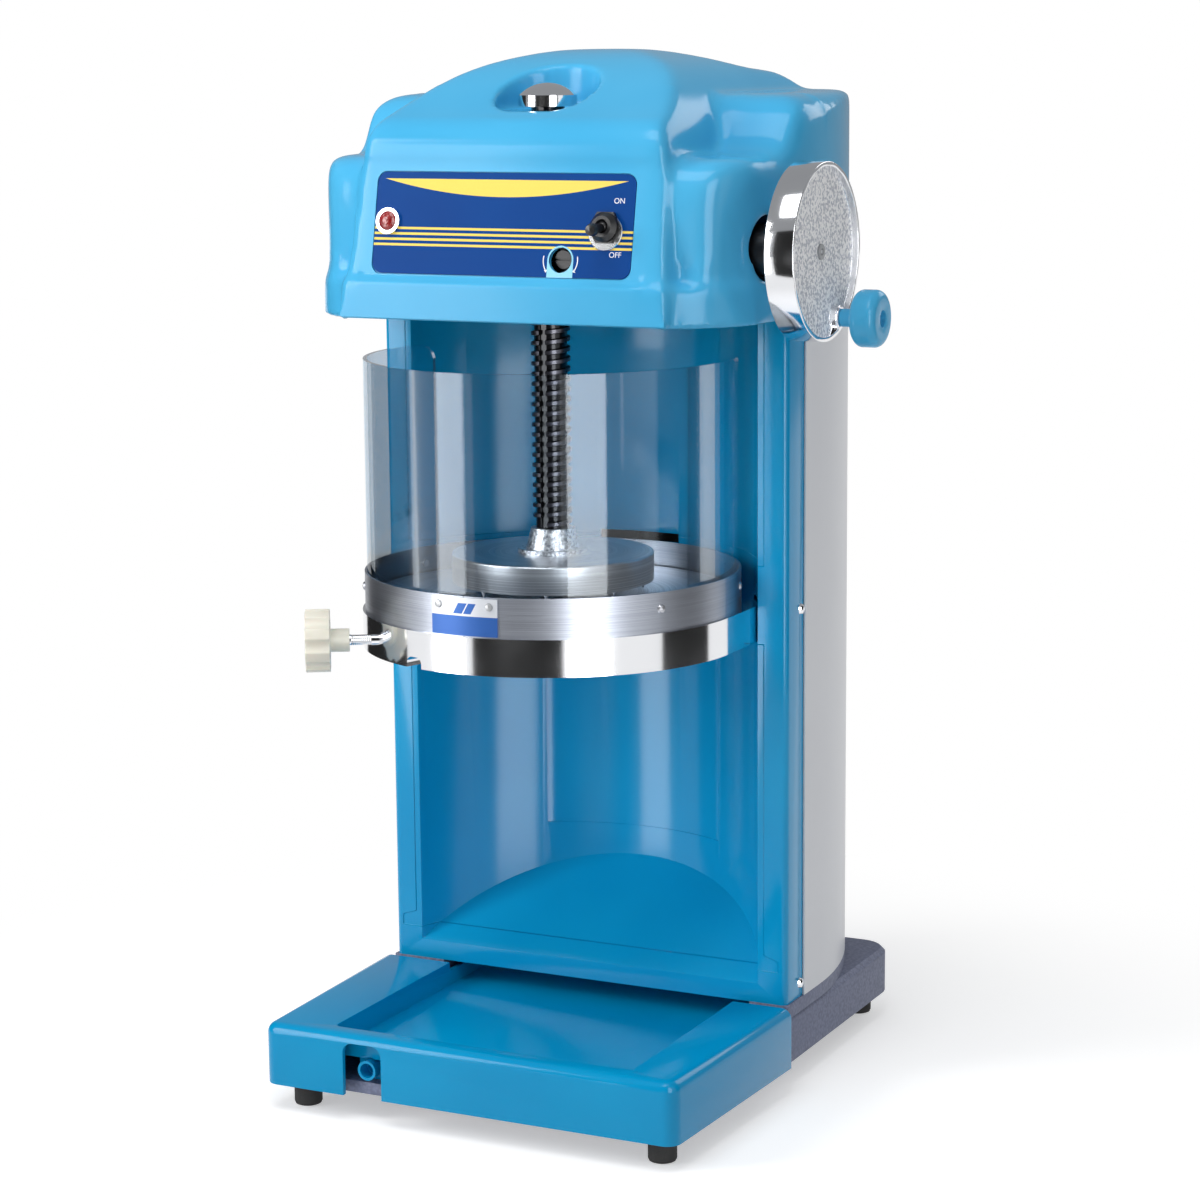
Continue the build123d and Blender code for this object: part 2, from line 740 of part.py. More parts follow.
def table_yoke():
    """Ring under the table with two arms that run back into the column frame."""
    ring = tube(yoke_radius, yoke_radius - yoke_wall, yoke_height, 0, spindle_y, yoke_bottom_z)
    solid = ring
    for side in (-1, 1):
        x = side * (yoke_radius - yoke_wall / 2)
        solid += slab(x - yoke_wall / 2, x + yoke_wall / 2, spindle_y,
                      upright_y + upright_depth - upright_wall, yoke_bottom_z, yoke_top_z)
    notch = slab(-yoke_notch_width / 2, yoke_notch_width / 2, -yoke_radius - 2,
                 -yoke_radius + yoke_wall + 6, yoke_bottom_z - 1, yoke_bottom_z + yoke_notch_height)
    notch = fillet(notch.edges().filter_by(Axis.Y).sort_by(Axis.Z)[-2:], 5)
    solid -= Pos(0, spindle_y, 0) * Rot(0, 0, yoke_notch_angle + 90) * notch
    hole = Pos(0, 0, yoke_mid_z) * lying_x(adjuster_stud_radius + running_gap, 80, 160,
                                           adjuster_offset, 0)
    return solid - blade_frame() * hole


def blade_table():
    """Round table that the ice turns on, with the slot for the blade."""
    disc = rod(table_radius, table_thickness, 0, spindle_y, yoke_top_z)
    reach = table_thickness / tan(radians(blade_tilt))
    mouth = make_face(Polyline((-blade_mouth, table_thickness + 1), (4.0, table_thickness + 1),
                               (4.0, table_thickness - 0.5), (reach + 9.0, -1),
                               (-blade_mouth, -1), close=True))
    opening = Pos(blade_inner_end - 2, 0, 0) * extrude(Plane.YZ * mouth, blade_length + 4)
    return disc - blade_frame() * Pos(0, 0, yoke_top_z) * opening


def blade_shape(width, thickness, length, start):
    """Plate sloping down and away from the cutting edge, edge at local y 0."""
    a = radians(blade_tilt)
    edge = make_face(Polyline((0, 0), (width * cos(a), -width * sin(a)),
                              (width * cos(a) - thickness * sin(a), -width * sin(a) - thickness * cos(a)),
                              (thickness * 1.6, -thickness * 1.6 * tan(a) - thickness * 0.9),
                              close=True))
    return Pos(start, 0, 0) * extrude(Plane.YZ * edge, length)


blade_edge_z = table_top_z + 0.3


def blade():
    plate = blade_shape(blade_width, blade_thickness, blade_length, blade_inner_end)
    plate = Pos(0, 0, blade_edge_z) * plate
    for x in blade_screw_places():
        plate -= blade_screw_place(x) * Cylinder(2.2, 20)
    return blade_frame() * plate


def blade_screw_places():
    step = blade_length / 4
    return [blade_inner_end + step * i for i in (1, 2, 3)]


def blade_screw_place(x):
    """Frame on the upper face of the blade near its low edge, local +Z out of the blade."""
    a = radians(blade_tilt)
    down = blade_width * 0.72
    return Pos(x, down * cos(a), blade_edge_z - down * sin(a)) * Rot(-blade_tilt, 0, 0)


def blade_screws():
    head = Cylinder(3.6, 2.2, align=MIN) - Pos(0, 0, 2.2) * Box(8, 0.9, 1.2)
    shank = Pos(0, 0, -7.5) * Cylinder(2.0, 7.5, align=MIN)
    return group(blade_frame() * (blade_screw_place(x) * (head + shank)) for x in blade_screw_places())


def blade_carrier():
    """Wedge-topped block that holds the blade and rises when the adjuster is turned."""
    a = radians(blade_tilt)
    gap = 0.02
    low = blade_edge_z - blade_thickness / cos(a) - gap
    y0, y1 = carrier_start, carrier_end
    edge = make_face(Polyline((y0, low - y0 * tan(a)), (y1, low - y1 * tan(a)), (y1, bridge_top_z),
                              (y0, bridge_top_z), close=True))
    length = blade_length - 8
    block = Pos(blade_inner_end, 0, 0) * extrude(Plane.YZ * edge, length)
    # lug that the adjuster's tip pushes on
    block += slab(blade_inner_end + length - 40, blade_inner_end + length, y1 - 1,
                  adjuster_offset + push_lug_width / 2, bridge_top_z, yoke_mid_z + 6)
    for x in blade_screw_places():
        block -= blade_screw_place(x) * Cylinder(2.05, 40)
    return blade_frame() * block


bridge_top_z = yoke_bottom_z + 1 + bridge_bar_thickness


def blade_bridge():
    """Flat bar across the yoke that the blade carrier stands on."""
    bar = slab(-200, 200, carrier_start - 2, adjuster_offset + push_lug_width / 2 + 2,
               bridge_top_z - bridge_bar_thickness, bridge_top_z)
    return blade_frame() * (bar & rod(yoke_radius - yoke_wall - 0.02, 40, 0, 0, yoke_bottom_z - 5))


def guard_band():
    """Brushed aluminium band round the table."""
    band = tube(band_radius, band_radius - band_thickness, band_height, 0, spindle_y, band_bottom_z)
    for angle in rivet_angles:
        band -= radial_place(angle, rivet_z) * Cylinder(rivet_radius + running_gap, 40)
    return band


rivet_z = band_bottom_z + 17.0


def radial_place(angle, z):
    """Frame on the band's outer face whose local +Z points outwards at the angle."""
    x, y = along(angle, band_radius)
    return Pos(x, y, z) * Rot(0, 0, angle) * Rot(0, 90, 0)


def clear_guard():
    """Clear bent sheet inside the band, open at the back, with rounded top corners."""
    sheet = ring_sector(guard_outer_radius, guard_inner_radius, band_bottom_z, guard_top_z,
                        guard_half_angle)
    for side in (-1, 1):
        angle = -90 + side * (guard_half_angle - degrees(guard_corner_radius / guard_outer_radius))
        a = radians(angle)
        place = Pos(guard_outer_radius * cos(a), guard_outer_radius * sin(a),
                    guard_top_z - guard_corner_radius)
        place = place * Rot(0, 0, angle) * Rot(0, 90, 0)
        square = Pos(-guard_corner_radius, side * guard_corner_radius, 0) * Box(
            2 * guard_corner_radius, 2 * guard_corner_radius, 30)
        corner = square - Cylinder(guard_corner_radius, 40)
        sheet -= place * corner
    sheet = Pos(0, spindle_y, 0) * sheet
    for angle in rivet_angles:
        sheet -= radial_place(angle, rivet_z) * Cylinder(rivet_radius + running_gap, 40)
    return sheet


def guard_rivets():
    inner = band_radius - guard_inner_radius
    solids = []
    for angle in rivet_angles:
        shank = Pos(0, 0, -inner) * Cylinder(rivet_radius, inner, align=MIN)
        outside = spun([(0, 0), (rivet_head_radius, 0), (rivet_head_radius * 0.7, 1.3), (0, 1.8)])
        inside = Pos(0, 0, -inner - 1.15) * Cylinder(rivet_head_radius * 0.8, 1.1, align=MIN)
        solids.append(radial_place(angle, rivet_z) * (shank + outside + inside))
    return group(solids)


def band_plate():
    """Small curved plate on the front of the band."""
    half_angle = degrees(band_plate_width / 2 / band_radius)
    plate = ring_sector(band_radius + 1.3, band_radius + 0.05, band_bottom_z + 1,
                        band_bottom_z + 1 + band_plate_height, half_angle)
    plate = Pos(0, spindle_y, 0) * plate
    for angle in band_screw_angles():
        plate -= radial_place(angle, band_screw_z) * Cylinder(1.5, 30)
    return plate


band_screw_z = band_bottom_z + 22.5


def band_screw_angles():
    spread = degrees((band_plate_width / 2 - 6) / band_radius)
    return (-90 - spread, -90 + spread)


def band_plate_screws():
    head = Pos(0, 0, 1.35) * spun([(0, 0), (2.9, 0), (2.4, 1.2), (0, 1.6)])
    shank = Cylinder(1.45, 1.5, align=MIN)
    return group(radial_place(a, band_screw_z) * (head + Pos(0, 0, 0.05) * shank)
                 for a in band_screw_angles())


# ------------------------------------------------------------------ blade adjuster
adjuster_wall_x = sqrt(yoke_radius ** 2 - adjuster_offset ** 2)
adjuster_tip_x = blade_inner_end + blade_length - 8 + 0.3
adjuster_end_x = adjuster_wall_x + adjuster_reach


def adjuster_place():
    """Frame on the adjuster's axis: local +Z points out to the knob."""
    return blade_frame() * Pos(0, adjuster_offset, yoke_mid_z) * Rot(0, 90, 0)


def adjuster_stud():
    points = [(0, adjuster_tip_x), (adjuster_stud_radius - 2, adjuster_tip_x),
              (adjuster_stud_radius, adjuster_tip_x + 2)]
    thread_start = adjuster_wall_x + 4
    thread_end = adjuster_end_x - adjuster_knob_length - adjuster_hub_length
    pitch = 1.5
    turns = int((thread_end - thread_start) / pitch)
    for i in range(turns):
        z = thread_start + i * pitch
        points += [(adjuster_stud_radius, z), (adjuster_stud_radius - 0.6, z + 0.5 * pitch)]
    points += [(adjuster_stud_radius, thread_start + turns * pitch),
               (adjuster_stud_radius, adjuster_end_x - 6), (0, adjuster_end_x - 6)]
    return adjuster_place() * spun(points)


def adjuster_knob():
    """Fluted moulded knob on the end of the stud."""
    z1 = adjuster_end_x
    z0 = z1 - adjuster_knob_length
    body = rod(adjuster_knob_radius, adjuster_knob_length, z=z0)
    flute_radius = adjuster_knob_radius * 0.3
    for i in range(adjuster_lobes):
        a = radians(360 / adjuster_lobes * i)
        reach = adjuster_knob_radius + flute_radius * 0.62
        body -= rod(flute_radius, adjuster_knob_length + 2, reach * cos(a), reach * sin(a), z0 - 1)
    hub = rod(adjuster_hub_radius, adjuster_hub_length + 1, z=z0 - adjuster_hub_length)
    bore = rod(adjuster_stud_radius + 0.02, z1 - 5.9 - (z0 - 20), z=z0 - 20)
    return adjuster_place() * (body + hub - bore)


# ------------------------------------------------------------------ press and spindle
def press_disc():
    disc = rod(press_radius, press_thickness, 0, spindle_y, press_bottom_z)
    disc = fillet(disc.edges().sort_by(Axis.Z)[-1], 1.5)
    for x, y in spike_places():
        disc -= rod(spike_radius + 0.02, 8, x, y, press_bottom_z - 1)
    return disc


def spike_places():
    return [along(22.5 + 360 / spike_count * i, spike_circle_radius) for i in range(spike_count)]


def press_spikes():
    tip = [(0, -spike_length), (0.3, -spike_length), (spike_radius, -spike_length + 5),
           (spike_radius, 6.9), (0, 6.9)]
    spike = spun(tip)
    return group(Pos(x, y, press_bottom_z) * spike for x, y in spike_places())


def press_hub():
    """Cone that clamps the disc to the spindle."""
    hub = spun([(thread_root_radius + 0.02, 0), (press_hub_radius + 6, 0), (press_hub_radius + 6, 3),
                (press_hub_radius, 3), (press_hub_top_radius, press_hub_height),
                (thread_root_radius + 0.02, press_hub_height)])
    return Pos(0, spindle_y, press_top_z) * hub


def keyway(z0, z1, grow=0.0):
    """Straight groove down the front of the spindle."""
    half = keyway_width / 2 + grow
    depth_y = spindle_y - thread_crest_radius + keyway_depth + grow
    return slab(-half, half, spindle_y - thread_crest_radius - 3, depth_y, z0, z1)


thread_bottom_z = press_top_z + press_hub_height + 3.0
thread_top_z = thread_bottom_z + thread_turns * thread_pitch


def spindle_screw():
    """Helical thread on a core, broken by the long keyway at every turn."""
    groove = keyway(thread_bottom_z - 6, thread_top_z + 5)
    core = rod(thread_root_radius, cap_bottom_z + 3 - press_top_z, 0, spindle_y, press_top_z) - groove
    path = Helix(thread_pitch, thread_pitch, thread_root_radius)
    section = Plane(path @ 0, x_dir=(1, 0, 0), z_dir=path % 0)
    depth = thread_crest_radius - thread_root_radius
    ridge = sweep(section * make_face(Polyline(
        (-0.6, -thread_root_width / 2), (depth, -thread_crest_width / 2),
        (depth, thread_crest_width / 2), (-0.6, thread_root_width / 2), close=True)),
        path, is_frenet=True)
    turn = Pos(0, spindle_y, thread_bottom_z) * Rot(0, 0, -90) * ridge - keyway(0, 900)
    return core + [Pos(0, 0, i * thread_pitch) * turn for i in range(thread_turns)]


def spindle_cap():
    """Domed chrome nut on the top of the spindle, which stands in the roof's pocket."""
    rim_top = cap_rim_height
    dome_radius = (cap_radius ** 2 + cap_dome_height ** 2) / (2 * cap_dome_height)
    body = rod(cap_radius, rim_top + cap_dome_height)
    ball = Pos(0, 0, rim_top + cap_dome_height - dome_radius) * Sphere(dome_radius)
    solid = (body & ball) - rod(thread_root_radius + 0.02, 3.1, z=-0.1)
    return Pos(0, spindle_y, cap_bottom_z) * solid


# ------------------------------------------------------------------ drive
hub_bottom_z = frame_plate_z - 8.0
hub_bore_radius = thread_crest_radius + sliding_gap


def drive_hub():
    """Sleeve that turns the spindle through its key and lets it slide."""
    sleeve = rod(hub_outer_radius - running_gap, pulley_top_z - hub_bottom_z, 0, spindle_y, hub_bottom_z)
    lip = rod(hub_flange_radius - 1, 2.4, 0, spindle_y, hub_bottom_z)
    solid = sleeve + lip - rod(hub_bore_radius, 60, 0, spindle_y, hub_bottom_z - 5)
    key_seat = slab(-drive_key_half, drive_key_half, spindle_y - hub_bore_radius - 3.5,
                    spindle_y - hub_bore_radius + 3, hub_bottom_z - 1, pulley_top_z + 1)
    return solid - key_seat


drive_key_half = keyway_width / 2 - 0.3


def drive_key():
    inner = spindle_y - thread_crest_radius + keyway_depth - 0.4
    outer = spindle_y - hub_bore_radius - 3.5 + 0.05
    grip = drive_key_half - 0.02
    return slab(-grip, grip, outer, inner, hub_bottom_z + 1, pulley_top_z - 1)


def hub_bearing():
    z = frame_plate_z - 8 + 2.5
    ring = tube(bearing_outer_radius - running_gap, hub_outer_radius, bearing_height - 0.1,
                0, spindle_y, z)
    groove = spun([(hub_outer_radius + 3.6, -1), (bearing_outer_radius - 3.6, -1),
                   (bearing_outer_radius - 3.6, 1.2), (hub_outer_radius + 3.6, 1.2)])
    upper = Pos(0, spindle_y, z + bearing_height - 0.2) * groove
    lower = Pos(0, spindle_y, z) * groove
    return ring - upper - lower


def pulley(radius, bore, x, y):
    """V-belt pulley with its groove."""
    bottom = radius - belt_depth - 1
    mid = pulley_thickness / 2
    mouth = belt_width / 2 + 0.6
    floor_half = belt_width / 2 - 0.9
    profile = spun([(bore, 0), (radius, 0), (radius, mid - mouth), (bottom, mid - floor_half),
                    (bottom, mid + floor_half), (radius, mid + mouth), (radius, pulley_thickness),
                    (bore, pulley_thickness)])
    return Pos(x, y, pulley_z) * profile


def driven_pulley():
    wheel = pulley(driven_pulley_radius, hub_outer_radius, 0, spindle_y)
    for i in range(6):
        a = radians(60 * i + 30)
        wheel -= rod(8, 40, 38 * cos(a), spindle_y + 38 * sin(a), pulley_z - 10)
    return wheel


def motor_pulley():
    return pulley(motor_pulley_radius, motor_shaft_radius + 0.02, 0, motor_y)


def belt_loop(shift):
    """Outline of the belt round both pulleys, moved outwards by shift."""
    big = Pos(0, spindle_y) * Circle(driven_pulley_radius - belt_depth + shift)
    small = Pos(0, motor_y) * Circle(motor_pulley_radius - belt_depth + shift)
    return make_hull(big.edges() + small.edges())


def drive_belt():
    mid = pulley_z + pulley_thickness / 2
    half = belt_width / 2 - 1.2
    loop = belt_loop(belt_depth + 0.5)
    outer = upright_prism(loop, mid - half, mid + half)
    inner = upright_prism(belt_loop(-0.5), mid - half - 1, mid + half + 1)
    return outer - inner


def motor_body():
    """Round motor hung under the frame plate."""
    top = frame_plate_z
    can = rod(motor_radius, motor_length, 0, motor_y, top - motor_length)
    can = fillet(can.edges().sort_by(Axis.Z)[0], 6)
    pilot = rod(motor_pilot_radius, frame_plate_thickness, 0, motor_y, top)
    solid = can + pilot
    for i in range(16):
        a = radians(22.5 * i)
        solid -= Pos(0, motor_y, top - motor_length * 0.55) * Rot(0, 0, degrees(a)) * Pos(
            motor_radius, 0, 0) * Box(3, 5, motor_length * 0.6)
    return solid - rod(motor_shaft_radius + running_gap, motor_length * 0.5 + 10, 0, motor_y,
                       top - motor_length * 0.5)


def motor_shaft():
    z0 = frame_plate_z - motor_length * 0.5 + 0.2
    return rod(motor_shaft_radius, pulley_top_z + 1 - z0, 0, motor_y, z0)


def motor_bolts():
    solids = []
    for i in range(4):
        a = radians(45 + 90 * i)
        x, y = (motor_pilot_radius + 14) * cos(a), motor_y + (motor_pilot_radius + 14) * sin(a)
        solids.append(rod(4.4, 3.2, x, y, frame_plate_top_z))
    return group(solids)


# ------------------------------------------------------------------ feed gear
pinion_pitch_radius = gear_module * pinion_teeth / 2
ring_pitch_radius = gear_module * ring_gear_teeth / 2
nut_bottom_z = crank_axis_z + pinion_pitch_radius + 4.0
nut_bore_radius = thread_crest_radius + sliding_gap + 0.1


def bevel_blank_and_teeth(teeth, pitch_radius, apex_height, body_back):
    """Bevel gear about Z with its apex at the origin, teeth facing the apex.

    The pitch cone meets the outer radius at apex_height above the apex.
    """
    cone = sqrt(pitch_radius ** 2 + apex_height ** 2)
    inner = (cone - gear_face) / cone
    addendum = 0.55 * gear_module
    dedendum = 0.75 * gear_module
    # unit vectors along the pitch cone and square to it, away from the mating gear
    ux, uz = pitch_radius / cone, apex_height / cone
    nx, nz = -uz, ux
    root_outer = (pitch_radius + nx * dedendum, apex_height + nz * dedendum)
    root_inner = (pitch_radius * inner + nx * dedendum * inner, apex_height * inner + nz * dedendum * inner)
    blank = (root_inner, root_outer)
    solids = []
    for share in (1.0, inner):
        points = []
        for depth, width in ((dedendum * 1.25, 0.40), (-addendum, 0.20)):
            r = (pitch_radius + nx * depth) * share
            z = (apex_height + nz * depth) * share
            half = width * pi * gear_module * share
            points.append((r, z, half))
        (r0, z0, w0), (r1, z1, w1) = points
        corners = [(r0, -w0 / 2, z0), (r1, -w1 / 2, z1), (r1, w1 / 2, z1), (r0, w0 / 2, z0)]
        solids.append(make_face(Polyline(*corners, close=True)))
    tooth = loft(solids)
    return blank, [Rot(0, 0, 360 / teeth * i) * tooth for i in range(teeth)]


def bevel_ring_gear():
    """Gear on the feed nut, teeth downwards, driven by the crank's pinion."""
    (ri, zi), (ro, zo) = bevel_blank_and_teeth(ring_gear_teeth, ring_pitch_radius,
                                               pinion_pitch_radius, 0)[0]
    teeth = bevel_blank_and_teeth(ring_gear_teeth, ring_pitch_radius, pinion_pitch_radius, 0)[1]
    top = zo + 6.0
    body = spun([(nut_radius + 0.02, zi), (ri, zi), (ro, zo), (ro, top), (nut_radius + 0.02, top)])
    half_tooth = 180 / ring_gear_teeth
    gear = body
    for tooth in teeth:
        gear += Rot(0, 0, half_tooth) * tooth
    return Pos(0, spindle_y, crank_axis_z) * gear


def bevel_pinion():
    """Small bevel gear on the inner end of the crank shaft."""
    (ri, zi), (ro, zo) = bevel_blank_and_teeth(pinion_teeth, pinion_pitch_radius,
                                               ring_pitch_radius, 0)[0]
    teeth = bevel_blank_and_teeth(pinion_teeth, pinion_pitch_radius, ring_pitch_radius, 0)[1]
    bore = crank_shaft_radius - 2
    body = spun([(bore + 0.02, zi), (ri, zi), (ro, zo), (ro, zo + 7), (bore + 0.02, zo + 7)])
    gear = body
    for tooth in teeth:
        gear += tooth
    return Pos(0, spindle_y, crank_axis_z) * Rot(0, 90, 0) * gear


def feed_nut():
    """Sleeve round the spindle with its brake drum, which also carries the ring gear."""
    sleeve = rod(nut_radius, nut_top_z - nut_bottom_z, 0, spindle_y, nut_bottom_z)
    shoulder = rod(nut_radius + 4, 3, 0, spindle_y, bridge_z + bridge_thickness + 0.3)
    drum = rod(brake_drum_radius, brake_drum_height, 0, spindle_y, drum_bottom_z)
    return sleeve + shoulder + drum - rod(nut_bore_radius, 200, 0, spindle_y, nut_bottom_z - 50)


drum_bottom_z = bridge_z - brake_drum_height - 2.0


def brake_band():
    """Split lined band round the drum, closed by the brake screw at the front."""
    inner = brake_drum_radius + 0.3
    band = tube(inner + 3, inner, brake_drum_height - 1, 0, spindle_y, drum_bottom_z + 0.5)
    ear_y0 = spindle_y - inner - 14
    ears = slab(-7, 7, ear_y0, spindle_y - inner - 1, drum_bottom_z + 0.5,
                drum_bottom_z + brake_drum_height - 0.5)
    split = slab(-2, 2, ear_y0 - 1, spindle_y - inner + 4, drum_bottom_z - 1,
                 drum_bottom_z + brake_drum_height + 1)
    anchor = slab(-5, 5, spindle_y + inner + 1, spindle_y + inner + 6, drum_bottom_z + 0.5, bridge_z)
    return band + ears - split + anchor


def brake_screw():
    """Slotted screw behind the hole in the panel that tightens the brake band."""
    y0 = fascia_y(brake_z) + 5
    y1 = brake_post_y + 9
    head = lying_y(6.5, y0, y0 + 5, brake_x, brake_z)
    shank = lying_y(3.5, y0 + 4, y1, brake_x, brake_z)
    slot = slab(brake_x - 8, brake_x + 8, y0 - 1, y0 + 1.6, brake_z - 0.7, brake_z + 0.7)
    return head + shank - slot


def bridge_plate():
    """Upper plate on four posts that carries the feed nut."""
    plate = slab(-bridge_half_x, bridge_half_x, spindle_y - bridge_half_y, spindle_y + bridge_half_y,
                 bridge_z, bridge_z + bridge_thickness)
    plate -= rod(nut_radius + running_gap, 40, 0, spindle_y, bridge_z - 10)
    return fillet(plate.edges().filter_by(Axis.Z).filter_by(
        lambda e: abs(e.center().X) > bridge_half_x - 1), 8)


def bridge_posts():
    height = bridge_z - frame_plate_top_z
    x = bridge_half_x - post_radius - 5
    y = bridge_half_y - post_radius - 4
    return group(rod(post_radius, height, sx * x, spindle_y + sy * y, frame_plate_top_z)
                 for sx in (-1, 1) for sy in (-1, 1))


# ------------------------------------------------------------------ crank
def crank_bracket():
    """Upright bracket with the tube that carries the crank shaft out through the head's side."""
    y = spindle_y
    plate = slab(bracket_x, bracket_x + bracket_thickness, y - 24, y + 24, frame_plate_top_z,
                 crank_axis_z + crank_housing_radius + 3)
    foot = slab(bracket_x, bracket_x + 22, y - 24, y + 24, frame_plate_top_z, frame_plate_top_z + 5)
    barrel = lying_x(crank_housing_radius, bracket_x, wheel_inner_x - 1.2, y, crank_axis_z)
    bore = lying_x(crank_housing_radius - crank_housing_wall, bracket_x - 5, wheel_inner_x + 5,
                   y, crank_axis_z)
    return plate + foot + barrel - bore


def crank_bushes():
    bush_outer = crank_housing_radius - crank_housing_wall - 0.02
    bore = crank_shaft_radius + running_gap
    solids = []
    for x0, x1 in ((bracket_x, bracket_x + 20), (wheel_inner_x - 21.2, wheel_inner_x - 1.2)):
        solids.append(lying_x(bush_outer, x0, x1, spindle_y, crank_axis_z)
                      - lying_x(bore, x0 - 1, x1 + 1, spindle_y, crank_axis_z))
    return group(solids)


crank_web_x = wheel_outer_x - wheel_face_recess


def crank_shaft():
    pinion_back = ring_pitch_radius + 7 + 1.5
    inner = lying_x(crank_shaft_radius - 2, ring_pitch_radius - gear_face - 1, pinion_back + 2,
                    spindle_y, crank_axis_z)
    outer = lying_x(crank_shaft_radius, pinion_back + 1, crank_web_x - 1.5, spindle_y, crank_axis_z)
    return inner + outer


def hand_wheel():
    """Dished wheel: rim, recessed face, hub and the boss of the crank pin."""
    rim = lying_x(wheel_radius, wheel_inner_x, wheel_outer_x, spindle_y, crank_axis_z)
    front = lying_x(wheel_radius - wheel_rim_wall, crank_web_x, wheel_outer_x + 1, spindle_y,
                    crank_axis_z)
    back = lying_x(wheel_radius - wheel_rim_wall, wheel_inner_x - 1, crank_web_x - wheel_web,
                   spindle_y, crank_axis_z)
    hub = lying_x(17, wheel_inner_x, crank_web_x - wheel_web + 1, spindle_y, crank_axis_z)
    pin_boss = lying_x(8.6, wheel_inner_x + 4, wheel_outer_x, pin_y, pin_z)
    wheel = rim - front - back + hub + pin_boss
    wheel -= lying_x(crank_shaft_radius + 0.02, wheel_inner_x - 5, crank_web_x - 1.5, spindle_y,
                     crank_axis_z)
    wheel -= lying_x(wheel_screw_radius + 0.1, crank_web_x - 3, crank_web_x + 5, spindle_y, crank_axis_z)
    return wheel - lying_x(crank_pin_radius, wheel_inner_x + 3, wheel_outer_x + 3, pin_y, pin_z)


pin_y = spindle_y + crank_pin_y
pin_z = crank_axis_z + crank_pin_z
wheel_screw_radius = 5.5


def wheel_screw():
    x0 = crank_web_x - 1.4
    head = lying_x(wheel_screw_radius, x0, crank_web_x + 1.2, spindle_y, crank_axis_z)
    socket = Pos(crank_web_x + 1.2, spindle_y, crank_axis_z) * Rot(0, 90, 0) * extrude(
        RegularPolygon(2.8, 6), 1.6, both=True)
    return head - socket


def crank_pin():
    pin = lying_x(crank_pin_radius - 0.02, wheel_inner_x + 4, knob_end_x - 6, pin_y, pin_z)
    collar = lying_x(7.5, wheel_outer_x, wheel_outer_x + 1.2, pin_y, pin_z)
    return pin + collar


def crank_knob():
    """Turned handle that spins on the pin."""
    length = knob_end_x - knob_start_x
    round_off = 6.0
    x0 = wheel_outer_x + 1.5
    neck = spun([(knob_bore, 0), (knob_neck_radius, 0),
                 (knob_neck_radius, knob_start_x - x0 - 2), (knob_neck_radius + 3, knob_start_x - x0 + 1),
                 (knob_bore, knob_start_x - x0 + 1)])
    body = Pos(0, 0, knob_start_x - x0) * Cylinder(knob_radius, length, align=MIN)
    body = fillet(body.edges(), round_off)
    depth = 5.0
    dish = rod(knob_hole_radius, depth + 1, z=knob_end_x - x0 - depth)
    bore = rod(knob_bore, knob_end_x - x0 - depth + 1, z=-0.5)
    return Pos(x0, pin_y, pin_z) * Rot(0, 90, 0) * (neck + body - dish - bore)


knob_bore = crank_pin_radius + 0.05


# ------------------------------------------------------------------ head
def head_plan(inset, step=0.0):
    """Plan of the head: narrow nose, rounded shoulders, long curved sides.

    The step draws only the nose and the shoulders back, for the wall above the skirt.
    """
    near = inset + step
    nose = head_front_half_width - near
    front = head_front_y + near
    into_nose = Line((nose, front), (nose, head_shoulder_y + near))
    mid = (head_shoulder_mid[0] - near, head_shoulder_mid[1] + near)
    end = (head_shoulder_end[0] - near, head_shoulder_end[1] + near * 0.3)
    shoulder = ThreePointArc(into_nose @ 1, mid, end)
    side = Line(end, (head_side_half_width - inset, head_side_bend_y))
    sweep_in = JernArc(side @ 1, (0, 1), head_side_radius - inset, head_side_turn)
    corner = JernArc(sweep_in @ 1, sweep_in % 1, head_corner_radius - inset, 90 - head_side_turn)
    back = Line(corner @ 1, (0, (corner @ 1).Y))
    return mirrored_outline([into_nose, shoulder, side, sweep_in, corner, back], True)


def shoulder_profile(inset, bottom):
    """Side view of the shoulders and the rear box, as (y, z)."""
    top_s, top_b = shoulder_top_z - inset, box_top_z - inset
    front = shoulder_front_y + inset
    round_r = 26.0 - inset
    back = 260.0
    curve_mid_y = (shoulder_curve_start_y + shoulder_curve_end_y) / 2
    curve_mid_z = (top_s + top_b) / 2
    lines = [
        Line((front, bottom), (front, top_s - round_r)),
        RadiusArc((front, top_s - round_r), (front + round_r, top_s), round_r),
        Line((front + round_r, top_s), (shoulder_curve_start_y + inset, top_s)),
        Spline((shoulder_curve_start_y + inset, top_s), (curve_mid_y + inset, curve_mid_z),
               (shoulder_curve_end_y + inset, top_b), tangents=((1, 0), (1, 0))),
        Line((shoulder_curve_end_y + inset, top_b), (back, top_b)),
        Line((back, top_b), (back, bottom)),
        Line((back, bottom), (front, bottom)),
    ]
    return make_face(Curve() + lines)


def hood_profile(inset, bottom):
    """Side view of the nose and the crown, as (y, z)."""
    d = inset
    lines = [
        Line((head_front_y + d, bottom), (head_front_y + d, skirt_top_z)),
        Line((head_front_y + d, skirt_top_z), (fascia_bottom_y + d, skirt_top_z)),
        Line((fascia_bottom_y + d, skirt_top_z), (fascia_top_y + d, fascia_top_z)),
        ThreePointArc((fascia_top_y + d, fascia_top_z), (crease_y + d, crease_z - d),
                      (roof_start_y + d, roof_start_z - d)),
        Spline((roof_start_y + d, roof_start_z - d), (roof_end_y, crown_z - 5.0 - d),
               (crown_flat_y, crown_z - d), (crown_back_y, crown_back_z - d),
               (crown_drop_y - d, crown_drop_z - d), tangents=((1, 0.42), (0.35, -1))),
        Line((crown_drop_y - d, crown_drop_z - d), (crown_drop_y - d, bottom)),
        Line((crown_drop_y - d, bottom), (head_front_y + d, bottom)),
    ]
    return make_face(Curve() + lines)


